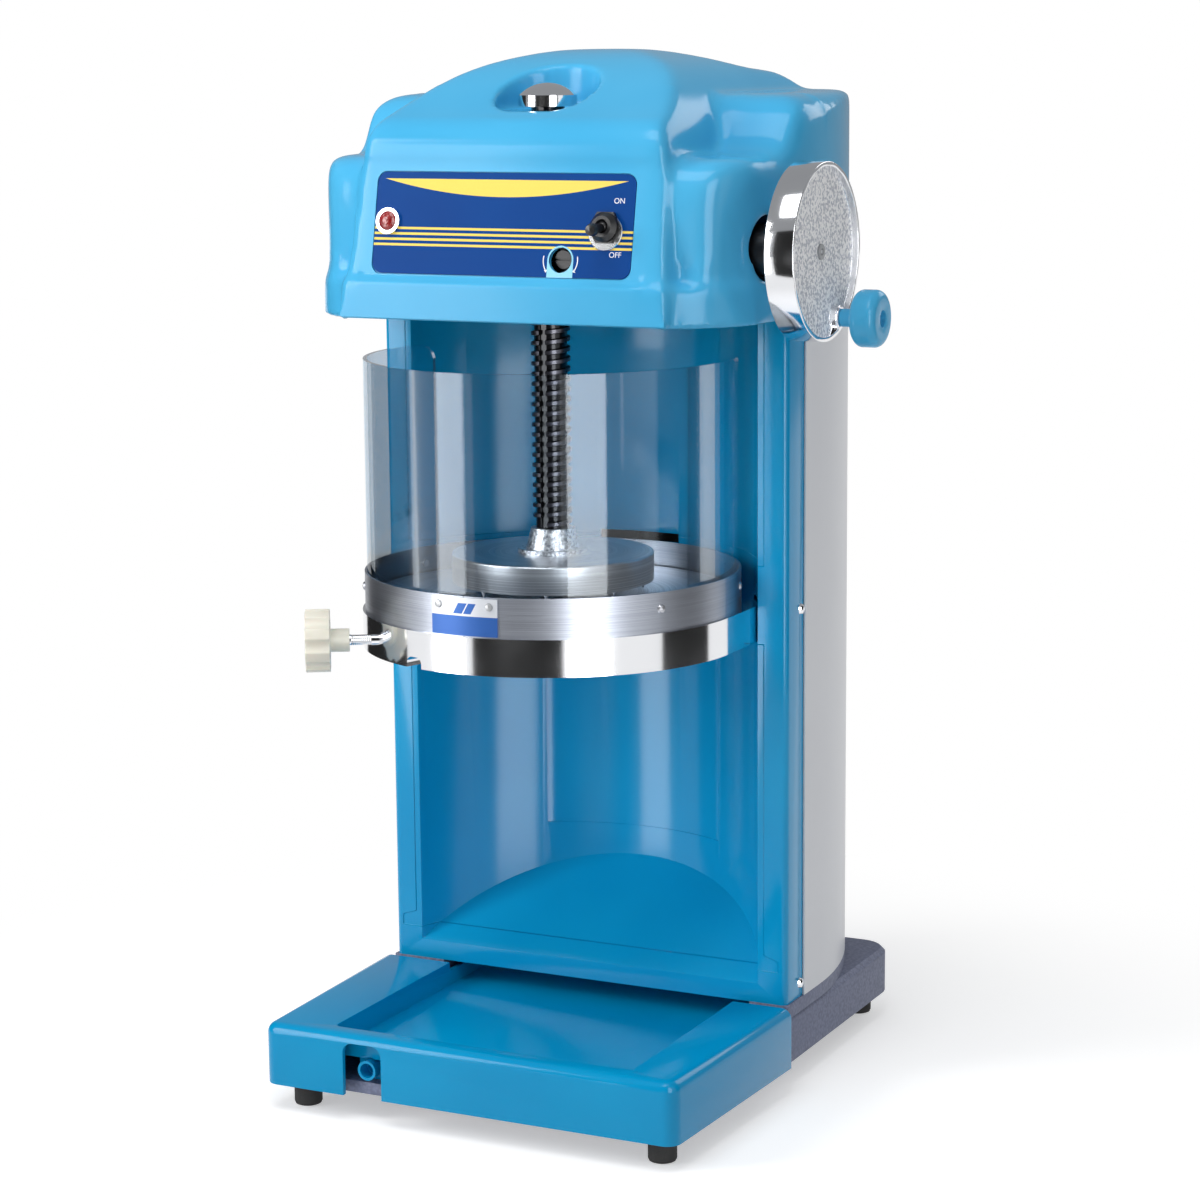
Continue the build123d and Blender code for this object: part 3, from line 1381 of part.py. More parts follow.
def hood_front_profile(inset, bottom):
    """Front view of the nose and the crown, as (x, z), right half then mirrored."""
    d = inset
    side = Line((head_front_half_width - d, bottom), (head_front_half_width - d, skirt_bottom_z + 1))
    lean = Line(side @ 1, (122.7 - d, fascia_top_z))
    crown = Spline(lean @ 1, (103.9 - d, 745.0 - d), (80.3 - d, 764.0 - d), (51.7 - d, 773.5 - d),
                   (0, crown_z - d), tangents=(lean % 1, (-1, 0)))
    right = Curve() + [side, lean, crown]
    left = mirror(right, Plane.YZ)
    closing = Line((head_front_half_width - d, bottom), (-head_front_half_width + d, bottom))
    return make_face(right + left + closing)


def box_front_profile(inset, bottom):
    """Front view of the rear box, as (x, z): square sides and rounded top corners."""
    half = head_side_half_width + 2 - inset
    face = make_face(Polyline((-half, bottom), (half, bottom), (half, box_top_z - inset),
                              (-half, box_top_z - inset), close=True))
    return fillet(face.vertices().sort_by(Axis.Y)[-2:], box_top_round - inset)


def head_form(inset, bottom):
    """Outer form of the head, drawn inwards by inset."""
    body_plan = upright_prism(head_plan(inset, skirt_step), bottom, box_top_z + 20)
    body_plan &= lengthways(box_front_profile(inset, bottom), head_front_y - 5, 260)
    shoulders = body_plan & sideways(shoulder_profile(inset, bottom), 250)
    hood = sideways(hood_profile(inset, bottom), 250) & lengthways(
        hood_front_profile(inset, bottom), head_front_y - 5, 260)
    return shoulders + hood


def panel_outline(grow, depth):
    """Block of the panel's outline, standing on the sloping front of the head."""
    height = panel_height / cos(radians(fascia_tilt))
    place = on_fascia(panel_centre_x, panel_bottom_z + panel_height / 2)
    face = RectangleRounded(panel_width + 2 * grow, height + 2 * grow, panel_corner_radius + grow)
    return place, extrude(face, depth)


def head_cover():
    """One-piece moulded hood that covers the whole drive."""
    shoulders_and_hood = head_form(0.0, skirt_bottom_z)
    skirt = upright_prism(head_plan(0.0), skirt_bottom_z, skirt_top_z)
    skirt -= slab(-300, 300, head_side_bend_y, 400, 0, 900)
    outer = shoulders_and_hood + skirt
    inner = head_form(head_wall, skirt_bottom_z - 10)
    # pocket in the roof round the spindle cap
    pocket_outer = rod(pocket_radius + head_wall, 100, 0, spindle_y, pocket_floor_z - head_wall)
    pocket_inner = rod(pocket_radius, 100, 0, spindle_y, pocket_floor_z)
    inner -= pocket_outer
    solid = outer - inner - pocket_inner
    solid -= rod(cap_radius + cap_clearance, 40, 0, spindle_y, pocket_floor_z - 20)
    # shallow seat for the panel, with the holes behind it
    place, seat = panel_outline(0.4, 20)
    solid -= place * Pos(0, 0, -panel_seat_depth) * seat
    for x, z, r in panel_holes():
        solid -= on_fascia(x, z) * Cylinder(r, 60)
    solid -= lying_x(crank_housing_radius + 1.0, 120, 220, spindle_y, crank_axis_z)
    # vent slots on both rear sides
    for side in (-1, 1):
        for i in range(3):
            y = 78 + 9 * i
            x0, x1 = sorted((side * 140, side * 200))
            solid -= slab(x0, x1, y, y + 3.5, box_top_z - 75, box_top_z - 30)
    return solid


panel_seat_depth = 1.5


def panel_holes():
    """Places and radii of the holes through the panel and the head behind it."""
    return ((reset_x, reset_z, reset_body_radius + 0.3), (toggle_x, toggle_z, toggle_neck_radius + 0.3),
            (brake_x, brake_z, brake_hole_radius))


reset_body_radius = 8.0
toggle_neck_radius = 6.0


def control_panel():
    """Thin printed plate on the sloping front."""
    place, sheet = panel_outline(0.0, panel_thickness)
    plate = place * Pos(0, 0, -panel_seat_depth + 0.05) * sheet
    for x, z, r in panel_holes():
        plate -= on_fascia(x, z) * Cylinder(r, 60)
    tab = slab(brake_x - panel_tab_width / 2, brake_x + panel_tab_width / 2, -200, -60,
               panel_bottom_z - 5, brake_z - 2)
    return plate - tab


panel_face = panel_thickness + 0.05 - panel_seat_depth


def reset_bezel():
    """Threaded bush of the overload reset, with its nut ring on the panel."""
    ring = tube(reset_bezel_radius, reset_button_radius + 0.08, 2.4, z=panel_face)
    bush = tube(reset_body_radius, reset_button_radius + 0.08, 24 + panel_face, z=-24)
    back = rod(reset_body_radius, 3, z=-27)
    body = Pos(0, 0, -42) * Box(15, 15, 30, align=MIN)
    return on_fascia(reset_x, reset_z) * (ring + bush + back + body - rod(
        reset_button_radius + 0.08, 20, z=-24))


def reset_button():
    """Red domed button that springs back."""
    bottom = -24 + reset_travel + 1
    shoulder = panel_face + 2.0
    dome = [(0, shoulder + 3.2), (2.5, shoulder + 3.0), (4.8, shoulder + 2.2),
            (6.3, shoulder + 1.1), (reset_button_radius, shoulder)]
    button = spun([(0, bottom)] + dome + [(reset_button_radius, bottom)])
    return on_fascia(reset_x, reset_z) * button


def toggle_switch():
    """Switch body behind the panel with its neck, nut and rubber boot base."""
    body = Pos(0, 0, -28) * Box(22, 30, 20, align=MIN)
    neck = rod(toggle_neck_radius, 11 + panel_face, z=-10)
    nut = Pos(0, 0, panel_face) * extrude(RegularPolygon(toggle_boot_radius, 6), 3.5)
    boot = spun([(0, panel_face + 3), (toggle_boot_radius - 2, panel_face + 3),
                 (toggle_boot_radius - 2, panel_face + 5), (toggle_boot_radius - 5, panel_face + 8.5),
                 (0, panel_face + 8.5)])
    socket = Pos(0, 0, toggle_pivot) * Sphere(toggle_ball + 0.08)
    mouth = spun([(0, toggle_pivot), (toggle_ball - 0.6, toggle_pivot), (toggle_ball + 3.4, 14), (0, 14)])
    pin_hole = Pos(0, 0, toggle_pivot) * toggle_pin(toggle_pin_radius + running_gap, 0.2)
    return on_fascia(toggle_x, toggle_z) * (body + neck + nut + boot - socket - mouth - pin_hole)


toggle_ball = 4.2
toggle_pivot = panel_face + 5.0


def toggle_pin(radius, extra=0.0):
    """Cross pin that the bat lever turns on."""
    return Rot(0, 90, 0) * Cylinder(radius, 2 * (toggle_ball + 1.5 + extra))


def toggle_lever():
    """Bat lever, down for off."""
    ball = Sphere(toggle_ball)
    bat = spun([(0, 0), (2.6, 0), (2.9, 6), (4.6, toggle_lever_length - 4),
                (3.6, toggle_lever_length - 1), (0, toggle_lever_length)])
    lever = Rot(toggle_lever_tilt, 0, 0) * (ball + bat) + toggle_pin(toggle_pin_radius)
    return on_fascia(toggle_x, toggle_z) * Pos(0, 0, toggle_pivot) * lever


def head_floor():
    """Pan that closes the underside of the head in front of the column."""
    z0 = skirt_bottom_z + 1
    plan = head_form(head_wall + wall_clear, skirt_bottom_z) & slab(-300, 300, -300, 300, z0, z0 + 2)
    split_y = column_front_y - wall_clear
    front = plan & slab(-300, 300, -300, split_y, 0, 900)
    round_part = rod(niche_radius - wall_clear, 2, 0, spindle_y, z0)
    round_part &= slab(-300, 300, split_y - 1, 300, 0, 900)
    return front + round_part - rod(hub_flange_radius + 1, 20, 0, spindle_y, z0 - 5)


def capacitor():
    """Motor capacitor in a clip on the upper cross member."""
    y0 = upright_y + upright_depth
    can = fillet(rod(17, 78, 0, y0 + 20, 380).edges(), 2)
    clip = slab(-8, 8, y0, y0 + 4, 425, 445)
    return can + clip


# ------------------------------------------------------------------ write every node
NODES = {
    "base_casting": base_casting,
    "rubber_feet": rubber_feet,
    "foot_screws": foot_screws,
    "cord_gland": cord_gland,
    "drip_tray": drip_tray,
    "drain_spout": drain_spout,
    "column_frame": column_frame,
    "column_front_cover": column_front_cover,
    "column_rear_cover": column_rear_cover,
    "cover_screws": cover_screws,
    "frame_plate": frame_plate,
    "table_yoke": table_yoke,
    "blade_table": blade_table,
    "blade_bridge": blade_bridge,
    "blade_carrier": blade_carrier,
    "blade": blade,
    "blade_screws": blade_screws,
    "guard_band": guard_band,
    "band_plate": band_plate,
    "band_plate_screws": band_plate_screws,
    "clear_guard": clear_guard,
    "guard_rivets": guard_rivets,
    "adjuster_stud": adjuster_stud,
    "adjuster_knob": adjuster_knob,
    "press_disc": press_disc,
    "press_spikes": press_spikes,
    "press_hub": press_hub,
    "spindle_screw": spindle_screw,
    "spindle_cap": spindle_cap,
    "drive_hub": drive_hub,
    "drive_key": drive_key,
    "hub_bearing": hub_bearing,
    "driven_pulley": driven_pulley,
    "motor_pulley": motor_pulley,
    "drive_belt": drive_belt,
    "motor_body": motor_body,
    "motor_shaft": motor_shaft,
    "motor_bolts": motor_bolts,
    "feed_nut": feed_nut,
    "bevel_ring_gear": bevel_ring_gear,
    "bevel_pinion": bevel_pinion,
    "brake_band": brake_band,
    "brake_screw": brake_screw,
    "bridge_plate": bridge_plate,
    "bridge_posts": bridge_posts,
    "crank_bracket": crank_bracket,
    "crank_bushes": crank_bushes,
    "crank_shaft": crank_shaft,
    "hand_wheel": hand_wheel,
    "wheel_screw": wheel_screw,
    "crank_pin": crank_pin,
    "crank_knob": crank_knob,
    "head_cover": head_cover,
    "head_floor": head_floor,
    "control_panel": control_panel,
    "reset_bezel": reset_bezel,
    "reset_button": reset_button,
    "toggle_switch": toggle_switch,
    "toggle_lever": toggle_lever,
    "capacitor": capacitor,
}

os.makedirs("parts", exist_ok=True)
for name, make in NODES.items():
    export_step(make(), f"parts/{name}.step")
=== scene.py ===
from math import cos, pi, radians, sin

import bmesh
import bpy
from mathutils import Matrix, Vector


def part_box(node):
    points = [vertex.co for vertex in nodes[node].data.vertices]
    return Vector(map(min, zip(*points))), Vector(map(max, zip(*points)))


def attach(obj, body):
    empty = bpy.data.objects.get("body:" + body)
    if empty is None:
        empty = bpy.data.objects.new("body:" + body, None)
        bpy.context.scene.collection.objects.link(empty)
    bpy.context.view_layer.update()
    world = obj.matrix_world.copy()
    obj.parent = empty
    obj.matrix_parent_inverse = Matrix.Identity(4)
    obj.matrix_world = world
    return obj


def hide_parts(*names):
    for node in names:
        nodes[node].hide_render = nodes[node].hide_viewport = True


# A block ice shaver with a crank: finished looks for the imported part.
# Metres, +Z up, -Y is the front.

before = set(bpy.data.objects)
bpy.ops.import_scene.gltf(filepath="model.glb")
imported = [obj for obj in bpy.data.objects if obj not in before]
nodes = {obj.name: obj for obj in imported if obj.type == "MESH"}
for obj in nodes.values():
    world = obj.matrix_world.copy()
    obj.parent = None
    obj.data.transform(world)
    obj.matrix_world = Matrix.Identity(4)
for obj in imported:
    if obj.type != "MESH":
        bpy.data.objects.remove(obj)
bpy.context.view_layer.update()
scene = bpy.context.scene

# ------------------------------------------------------------------ places read from the frame
def middle(node):
    """Centre of a node's box."""
    low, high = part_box(node)
    return Vector((low.x + high.x, low.y + high.y, low.z + high.z)) / 2


hood_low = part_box("head_cover")[0]
panel_low, panel_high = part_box("control_panel")
wheel_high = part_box("hand_wheel")[1]
plate_low, plate_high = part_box("band_plate")
seam_x = middle("band_plate").x
cap_middle = middle("spindle_cap")
spindle = Vector((cap_middle.x, cap_middle.y, 0))

# ------------------------------------------------------------------ the photograph's camera
camera_place = Vector((1.0337, -2.0925, 0.7808))
camera_azimuth = radians(26.12)
camera_elevation = radians(10.16)
camera_roll = radians(-0.50)
camera_lens = 93.03  # millimetres
sensor_width = 36.0


def make_camera():
    """Camera that looks from the front right, a little down on the object."""
    back = Vector((sin(camera_azimuth) * cos(camera_elevation),
                   -cos(camera_azimuth) * cos(camera_elevation), sin(camera_elevation)))
    right = Vector((cos(camera_azimuth), sin(camera_azimuth), 0))
    up = back.cross(right)
    rolled_right = cos(camera_roll) * right + sin(camera_roll) * up
    rolled_up = cos(camera_roll) * up - sin(camera_roll) * right
    turn = Matrix((rolled_right, rolled_up, back)).transposed()
    camera = bpy.data.objects.new("camera", bpy.data.cameras.new("camera"))
    camera.data.lens = camera_lens
    camera.data.sensor_width = sensor_width
    camera.data.clip_start = 0.05
    camera.matrix_world = Matrix.Translation(camera_place) @ turn.to_4x4()
    scene.collection.objects.link(camera)
    scene.camera = camera


# ------------------------------------------------------------------ mesh helpers
weld_distance = 0.00002
fine_weld = 0.00001
flat_angle = radians(0.3)
rounded_angle = radians(28)


def link(name, mesh_bm, body, slot, *materials):
    """Turns a bmesh into a shaded object that rides on a body."""
    mesh = bpy.data.meshes.new(name)
    mesh_bm.to_mesh(mesh)
    mesh_bm.free()
    piece = bpy.data.objects.new(name, mesh)
    scene.collection.objects.link(piece)
    for material in materials:
        mesh.materials.append(material)
    if body:
        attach(piece, body)
    return piece


def apply_modifiers(piece):
    """Bakes the modifiers of a piece into its mesh."""
    bpy.context.view_layer.update()
    graph = bpy.context.evaluated_depsgraph_get()
    mesh = bpy.data.meshes.new_from_object(piece.evaluated_get(graph))
    piece.modifiers.clear()
    piece.data = mesh


def shade(piece, angle):
    """Smooth shading that keeps edges sharper than an angle in degrees."""
    piece.data.shade_smooth()
    with bpy.context.temp_override(object=piece, active_object=piece,
                                   selected_objects=[piece], selected_editable_objects=[piece]):
        bpy.ops.object.shade_smooth_by_angle(angle=radians(angle))


def welded_copy(node):
    """Copy of a CAD node's mesh whose triangles share their corners."""
    shape = bmesh.new()
    shape.from_mesh(nodes[node].data)
    bmesh.ops.remove_doubles(shape, verts=shape.verts, dist=weld_distance)
    return shape


def softened(node, body, slot, width, *materials, pick=None):
    """Copy of a CAD node whose edges get the small round that the real part has."""
    shape = welded_copy(node)
    bmesh.ops.dissolve_limit(shape, angle_limit=flat_angle, verts=shape.verts,
                             edges=shape.edges, delimit=set())
    if pick:
        for face in shape.faces:
            face.material_index = pick(face)
    piece = link(node + "_finished", shape, body, slot, *materials)
    bevel = piece.modifiers.new("edge_round", "BEVEL")
    bevel.width = width
    bevel.segments = 3
    bevel.limit_method = "ANGLE"
    bevel.angle_limit = rounded_angle
    bevel.use_clamp_overlap = True
    bevel.harden_normals = False
    bevel.miter_outer = "MITER_ARC"
    apply_modifiers(piece)
    shade(piece, 30)
    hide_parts(node)
    return piece


def prism(points, depth):
    """Outline in the XY plane, pushed up to a depth."""
    shape = bmesh.new()
    face = shape.faces.new([shape.verts.new((x, y, 0)) for x, y in points])
    grown = bmesh.ops.extrude_face_region(shape, geom=[face])
    top = [v for v in grown["geom"] if isinstance(v, bmesh.types.BMVert)]
    bmesh.ops.translate(shape, vec=(0, 0, depth), verts=top)
    bmesh.ops.recalc_face_normals(shape, faces=shape.faces)
    return shape


def spun(points):
    """Outline of (radius, height) points turned about Z."""
    shape = bmesh.new()
    verts = [shape.verts.new((r, 0, z)) for r, z in points]
    edges = [shape.edges.new((a, b)) for a, b in zip(verts, verts[1:])]
    bmesh.ops.spin(shape, geom=verts + edges, cent=(0, 0, 0), axis=(0, 0, 1), angle=2 * pi,
                   steps=96, use_merge=True)
    bmesh.ops.remove_doubles(shape, verts=shape.verts, dist=fine_weld)
    bmesh.ops.recalc_face_normals(shape, faces=shape.faces)
    return shape


def moved(shape, matrix):
    """The same bmesh, put through a matrix."""
    bmesh.ops.transform(shape, matrix=matrix, verts=shape.verts)
    return shape


def joined(*shapes):
    """Several bmeshes as one."""
    whole = bmesh.new()
    for shape in shapes:
        mesh = bpy.data.meshes.new("part")
        shape.to_mesh(mesh)
        shape.free()
        whole.from_mesh(mesh)
        bpy.data.meshes.remove(mesh)
    return whole


def cut(piece, shape, solver="MANIFOLD"):
    """Takes a bmesh away from a piece."""
    tool = link("tool", shape, None, None)
    change = piece.modifiers.new("change", "BOOLEAN")
    change.operation = "DIFFERENCE"
    change.solver = solver
    change.object = tool
    apply_modifiers(piece)
    bpy.data.objects.remove(tool)


# ------------------------------------------------------------------ shader maths
class Value:
    """A number or colour socket that understands ordinary arithmetic."""

    def __init__(self, tree, socket):
        self.tree = tree
        self.socket = socket

    def _math(self, operation, *others, flip=False):
        node = self.tree.nodes.new("ShaderNodeMath")
        node.operation = operation
        values = [self, *others]
        if flip:
            values.reverse()
        for place, value in zip(node.inputs, values):
            if isinstance(value, Value):
                self.tree.links.new(value.socket, place)
            else:
                place.default_value = value
        return Value(self.tree, node.outputs[0])

    def __add__(self, other):
        return self._math("ADD", other)

    __radd__ = __add__

    def __sub__(self, other):
        return self._math("SUBTRACT", other)

    def __rsub__(self, other):
        return self._math("SUBTRACT", other, flip=True)

    def __mul__(self, other):
        return self._math("MULTIPLY", other)

    __rmul__ = __mul__

    def __pow__(self, other):
        return self._math("POWER", other)

    def above(self, other):
        return self._math("GREATER_THAN", other)

    def below(self, other):
        return self._math("LESS_THAN", other)

    def absolute(self):
        return self._math("ABSOLUTE")

    def larger(self, other):
        return self._math("MAXIMUM", other)

    def smaller(self, other):
        return self._math("MINIMUM", other)

    def wrapped(self, period):
        return self._math("FLOORED_MODULO", period)

    def root(self):
        return self._math("SQRT")


class Finish:
    """A material being put together from nodes."""

    def __init__(self, name):
        self.material = bpy.data.materials.new(name)
        self.material.use_nodes = True
        self.tree = self.material.node_tree
        self.tree.nodes.clear()
        self.output = self.tree.nodes.new("ShaderNodeOutputMaterial")

    def node(self, kind, settings=None, **values):
        """Any node: its settings first, then its sockets by name."""
        made = self.tree.nodes.new("ShaderNode" + kind)
        for name, value in (settings or {}).items():
            setattr(made, name, value)
        for name, value in values.items():
            self.put(made.inputs[name.replace("_", " ")], value)
        return made

    def put(self, place, value):
        """Fills a socket with a number, a Value or another node's output."""
        if isinstance(value, Value):
            self.tree.links.new(value.socket, place)
        elif hasattr(value, "is_output"):
            self.tree.links.new(value, place)
        else:
            place.default_value = value

    def place(self):
        """Object coordinates as three values."""
        coordinates = self.tree.nodes.new("ShaderNodeTexCoord").outputs["Object"]
        split = self.node("SeparateXYZ", Vector=coordinates)
        return [Value(self.tree, out) for out in split.outputs]

    def stretched(self, x=1, y=1, z=1):
        """Object coordinates scaled per axis."""
        coordinates = self.tree.nodes.new("ShaderNodeTexCoord").outputs["Object"]
        mapping = self.node("Mapping", Vector=coordinates, Scale=(x, y, z))
        return mapping.outputs["Vector"]

    def away_from(self, centre):
        """Distance from an upright axis."""
        x, y, _ = self.place()
        return ((x - centre[0]) ** 2.0 + (y - centre[1]) ** 2.0).root()

    def cells(self, vector, scale, feature="F1"):
        """Distance to the nearest of many scattered points."""
        made = self.node("TexVoronoi", {"feature": feature}, Vector=vector, Scale=scale)
        return Value(self.tree, made.outputs["Distance"])

    def noise(self, vector, scale, detail=3.0, roughness=0.5):
        """Smooth noise from 0 to 1."""
        made = self.node("TexNoise", Vector=vector, Scale=scale, Detail=detail, Roughness=roughness)
        return Value(self.tree, made.outputs["Fac"])

    def mix(self, factor, first, second):
        """Colour between two colours."""
        made = self.node("Mix", {"data_type": "RGBA"})
        self.put(made.inputs[0], factor)
        self.put(made.inputs[6], first)
        self.put(made.inputs[7], second)
        return made.outputs[2]

    def range(self, value, low, high, to_low=0.0, to_high=1.0):
        """Value moved smoothly from one range to another, clamped."""
        made = self.node("MapRange", {"interpolation_type": "SMOOTHSTEP"})
        for place, number in zip(made.inputs, (value, low, high, to_low, to_high)):
            self.put(place, number)
        return Value(self.tree, made.outputs[0])

    def bump(self, height, strength, distance, **values):
        """Normal of a surface that rises by distance, in metres, where height is 1."""
        return self.node("Bump", Strength=strength, Distance=distance, Height=height,
                         **values).outputs["Normal"]

    def blend(self, kind, first, second, factor=None):
        """Mix or sum of two shaders."""
        made = self.node(kind)
        shaders = [first.outputs[0], second.outputs[0]]
        for socket, value in zip(made.inputs, shaders if factor is None else [factor, *shaders]):
            self.put(socket, value)
        return made

    def show(self, shader):
        """Makes a shader the material's surface."""
        self.tree.links.new(shader.outputs[0], self.output.inputs["Surface"])
        return self.material

    def principled(self, **values):
        """Makes a Principled shader the material's surface."""
        return self.show(self.node("BsdfPrincipled", **values))


def rgb(r, g, b):
    """Colour as seen on a screen, 0 to 255, turned into the shader's own scale."""
    def linear(v):
        v /= 255
        return v / 12.92 if v <= 0.04045 else ((v + 0.055) / 1.055) ** 2.4

    return (linear(r), linear(g), linear(b), 1.0)


# ------------------------------------------------------------------ finishes
def glossy_moulding(name, colour, deep, gloss=0.3, pressed=None):
    """Moulded and lacquered plastic: slight colour drift, faint orange peel, fine dust."""
    finish = Finish(name)
    flat = finish.stretched()
    drift = finish.noise(flat, 7.0, 2.0)
    fine = finish.noise(flat, 900.0, 2.0)
    wave = finish.noise(flat, 60.0, 2.0)
    tone = finish.mix(finish.range(drift, 0.3, 0.7), colour, deep)
    normal = finish.bump(wave * 0.8 + fine * 0.2, 0.05, 0.0004)
    if pressed:
        normal = finish.bump(pressed(finish), 0.9, fold_depth, Normal=normal)
    return finish.principled(Base_Color=tone, Roughness=0.11 + 0.04 * drift + 0.03 * fine,
                             Normal=normal, IOR=1.5, Specular_IOR_Level=gloss)


fold_depth = 0.0012
fold_blend = 0.001
fold_side_x = 0.1494
fold_foot_z = 0.0905
fold_flare_x = 0.0118
fold_flare_z = 0.099, 0.104
fold_table_z = 0.3415, 0.4005


def liner_fold(finish):
    """Step where the niche liner folds over the front strips, left out round the ice table."""
    x, _, z = finish.place()
    outward = finish.range(z, *fold_flare_z, fold_flare_x, 0.0)
    outer = finish.range(x.absolute() - outward, fold_side_x, fold_side_x + fold_blend)
    under, over = fold_table_z
    lower = (finish.range(z, fold_foot_z, fold_foot_z + fold_blend)
             * finish.range(z, under, under + fold_blend, 1.0, 0.0))
    upper = finish.range(z, over, over + fold_blend)
    return 1 - (1 - outer) * (lower + upper).smaller(1.0)


def pale_sheet_paint():
    """Powder coated sheet: nearly white, satin, with a very fine grain."""
    finish = Finish("pale_sheet_paint")
    flat = finish.stretched()
    grain = finish.noise(flat, 1400.0, 2.0)
    drift = finish.noise(flat, 5.0, 2.0)
    tone = finish.mix(drift, rgb(228, 230, 234), rgb(217, 219, 224))
    return finish.principled(Base_Color=tone, Roughness=0.36 + 0.1 * grain,
                             Normal=finish.bump(grain, 0.12, 0.0002),
                             Coat_Weight=0.15, Coat_Roughness=0.2)


def hammered_grey():
    """Cast base: grey paint with a pebbled skin, its tone following the pebbles and drifting at
    random.
    """
    finish = Finish("hammered_grey")
    flat = finish.stretched()
    pebble = finish.cells(flat, 420.0, "SMOOTH_F1")
    fine = finish.noise(flat, 1300.0, 2.0)
    drift = finish.noise(flat, 14.0, 3.0)
    tone = finish.mix(finish.range(pebble, 0.1, 0.7), rgb(122, 129, 155), rgb(98, 104, 128))
    tone = finish.mix(finish.range(drift, 0.35, 0.7) * 0.35, tone, rgb(110, 116, 140))
    return finish.principled(Base_Color=tone, Roughness=0.42 + 0.18 * fine, Metallic=0.15,
                             Normal=finish.bump(pebble + fine * 0.3, 0.35, 0.0004))


def dark_rubber():
    """Matt black rubber with a little dust."""
    finish = Finish("dark_rubber")
    flat = finish.stretched()
    fine = finish.noise(flat, 1500.0, 2.0)
    dust = finish.noise(flat, 60.0, 3.0)
    tone = finish.mix(finish.range(dust, 0.5, 0.8), rgb(17, 17, 18), rgb(34, 33, 32))
    return finish.principled(Base_Color=tone, Roughness=0.6 + 0.2 * fine,
                             Normal=finish.bump(fine, 0.2, 0.0002))


def black_moulding():
    """Satin black plastic with a fine spark-eroded skin."""
    finish = Finish("black_moulding")
    flat = finish.stretched()
    fine = finish.noise(flat, 1100.0, 2.0)
    drift = finish.noise(flat, 30.0, 2.0)
    tone = finish.mix(drift, rgb(14, 14, 17), rgb(24, 24, 28))
    return finish.principled(Base_Color=tone, Roughness=0.28 + 0.12 * fine,
                             Normal=finish.bump(fine, 0.1, 0.0002),
                             Coat_Weight=0.2, Coat_Roughness=0.15)


def chrome(name, brushed=0.0):
    """Plated steel, mirror bright, with hairlines along the height when brushed."""
    finish = Finish(name)
    lines = finish.noise(finish.stretched(3, 3, 2600), 1.0, 3.0)
    blur = finish.noise(finish.stretched(), 40.0, 2.0)
    tone = finish.mix(blur, (0.84, 0.85, 0.87, 1), (0.7812, 0.7905, 0.8178, 1))
    return finish.principled(Base_Color=tone, Metallic=1.0,
                             Roughness=0.07 + 0.05 * blur + brushed * 0.25 * lines,
                             Normal=finish.bump(lines * brushed + blur * 0.1, 0.06, 0.0002))


def brushed_band_metal():
    """Aluminium strip brushed round its length, with the thin dark line of its front seam."""
    finish = Finish("brushed_band_metal")
    lines = finish.noise(finish.stretched(9, 9, 5200), 1.0, 4.0)
    broad = finish.noise(finish.stretched(3, 3, 900), 1.0, 2.0)
    x, y, _ = finish.place()
    seam_half_width = 0.00035
    seam = (x - seam_x).absolute().below(seam_half_width) * y.below(spindle.y)
    tone = finish.mix(finish.range(lines, 0.3, 0.7), rgb(144, 149, 160), rgb(172, 177, 187))
    tone = finish.mix(seam * 0.9, tone, rgb(30, 32, 38))
    return finish.principled(Base_Color=tone, Metallic=1.0, Roughness=0.27 + 0.14 * broad,
                             Normal=finish.bump(lines, 0.05, 0.0001))


def turned_aluminium():
    """Disc and table turned on a lathe: fine rings about the spindle."""
    finish = Finish("turned_aluminium")
    rings_per_metre = 1 / 0.0006
    layers_per_metre = 1800.0
    z = finish.place()[2]
    rings = finish.node("CombineXYZ", X=finish.away_from(spindle) * rings_per_metre,
                        Z=z * layers_per_metre)
    groove = finish.noise(rings.outputs[0], 1.0, 2.0)
    drift = finish.noise(finish.stretched(), 25.0, 3.0)
    tone = finish.mix(finish.range(groove, 0.3, 0.7), rgb(176, 178, 184), rgb(222, 223, 226))
    return finish.principled(Base_Color=tone, Metallic=1.0, Roughness=0.24 + 0.16 * drift,
                             Normal=finish.bump(groove, 0.12, 0.0002))


def plain_metal(name, light, dark, rough=0.3):
    """Machined or plated metal without a direction."""
    finish = Finish(name)
    flat = finish.stretched()
    fine = finish.noise(flat, 700.0, 3.0)
    drift = finish.noise(flat, 30.0, 3.0)
    tone = finish.mix(finish.range(drift, 0.3, 0.7), light, dark)
    return finish.principled(Base_Color=tone, Metallic=1.0, Roughness=rough + 0.15 * fine,
                             Normal=finish.bump(fine, 0.08, 0.0002))


def oiled_thread():
    """Blackened screw with a film of oil: dark flanks, and crests painted paler as a highlight."""
    finish = Finish("oiled_thread")
    flank_radius, crest_radius = 0.0133, 0.0144
    # Mask of the thread crests: they are painted paler as a painted highlight, varied by the oil
    # smear.
    painted_crest_highlight = finish.range(finish.away_from(spindle), flank_radius, crest_radius)
    flat = finish.stretched()
    smear = finish.noise(flat, 160.0, 3.0)
    fine = finish.noise(flat, 900.0, 2.0)
    tone = finish.mix(painted_crest_highlight * (0.35 + 0.5 * smear), rgb(20, 20, 24), rgb(92, 92, 102))
    return finish.principled(Base_Color=tone, Metallic=0.9, Roughness=0.2 + 0.2 * smear,
                             Normal=finish.bump(smear + fine * 0.3, 0.2, 0.0003),
                             Coat_Weight=0.5, Coat_Roughness=0.08)


def rough_silver_face():
    """Wheel face: thick silver paint with a coarse crackled grain."""
    finish = Finish("rough_silver_face")
    flat = finish.stretched()
    coarse = finish.noise(flat, 430.0, 3.0, 0.6)
    grit = finish.cells(flat, 760.0)
    spots = finish.range(coarse, 0.42, 0.56)
    tone = finish.mix(spots, rgb(190, 193, 202), rgb(255, 255, 255))
    return finish.principled(Base_Color=tone, Metallic=0.1, Roughness=0.34 + 0.25 * grit,
                             Normal=finish.bump(coarse + grit * 0.4, 0.9, 0.0009))


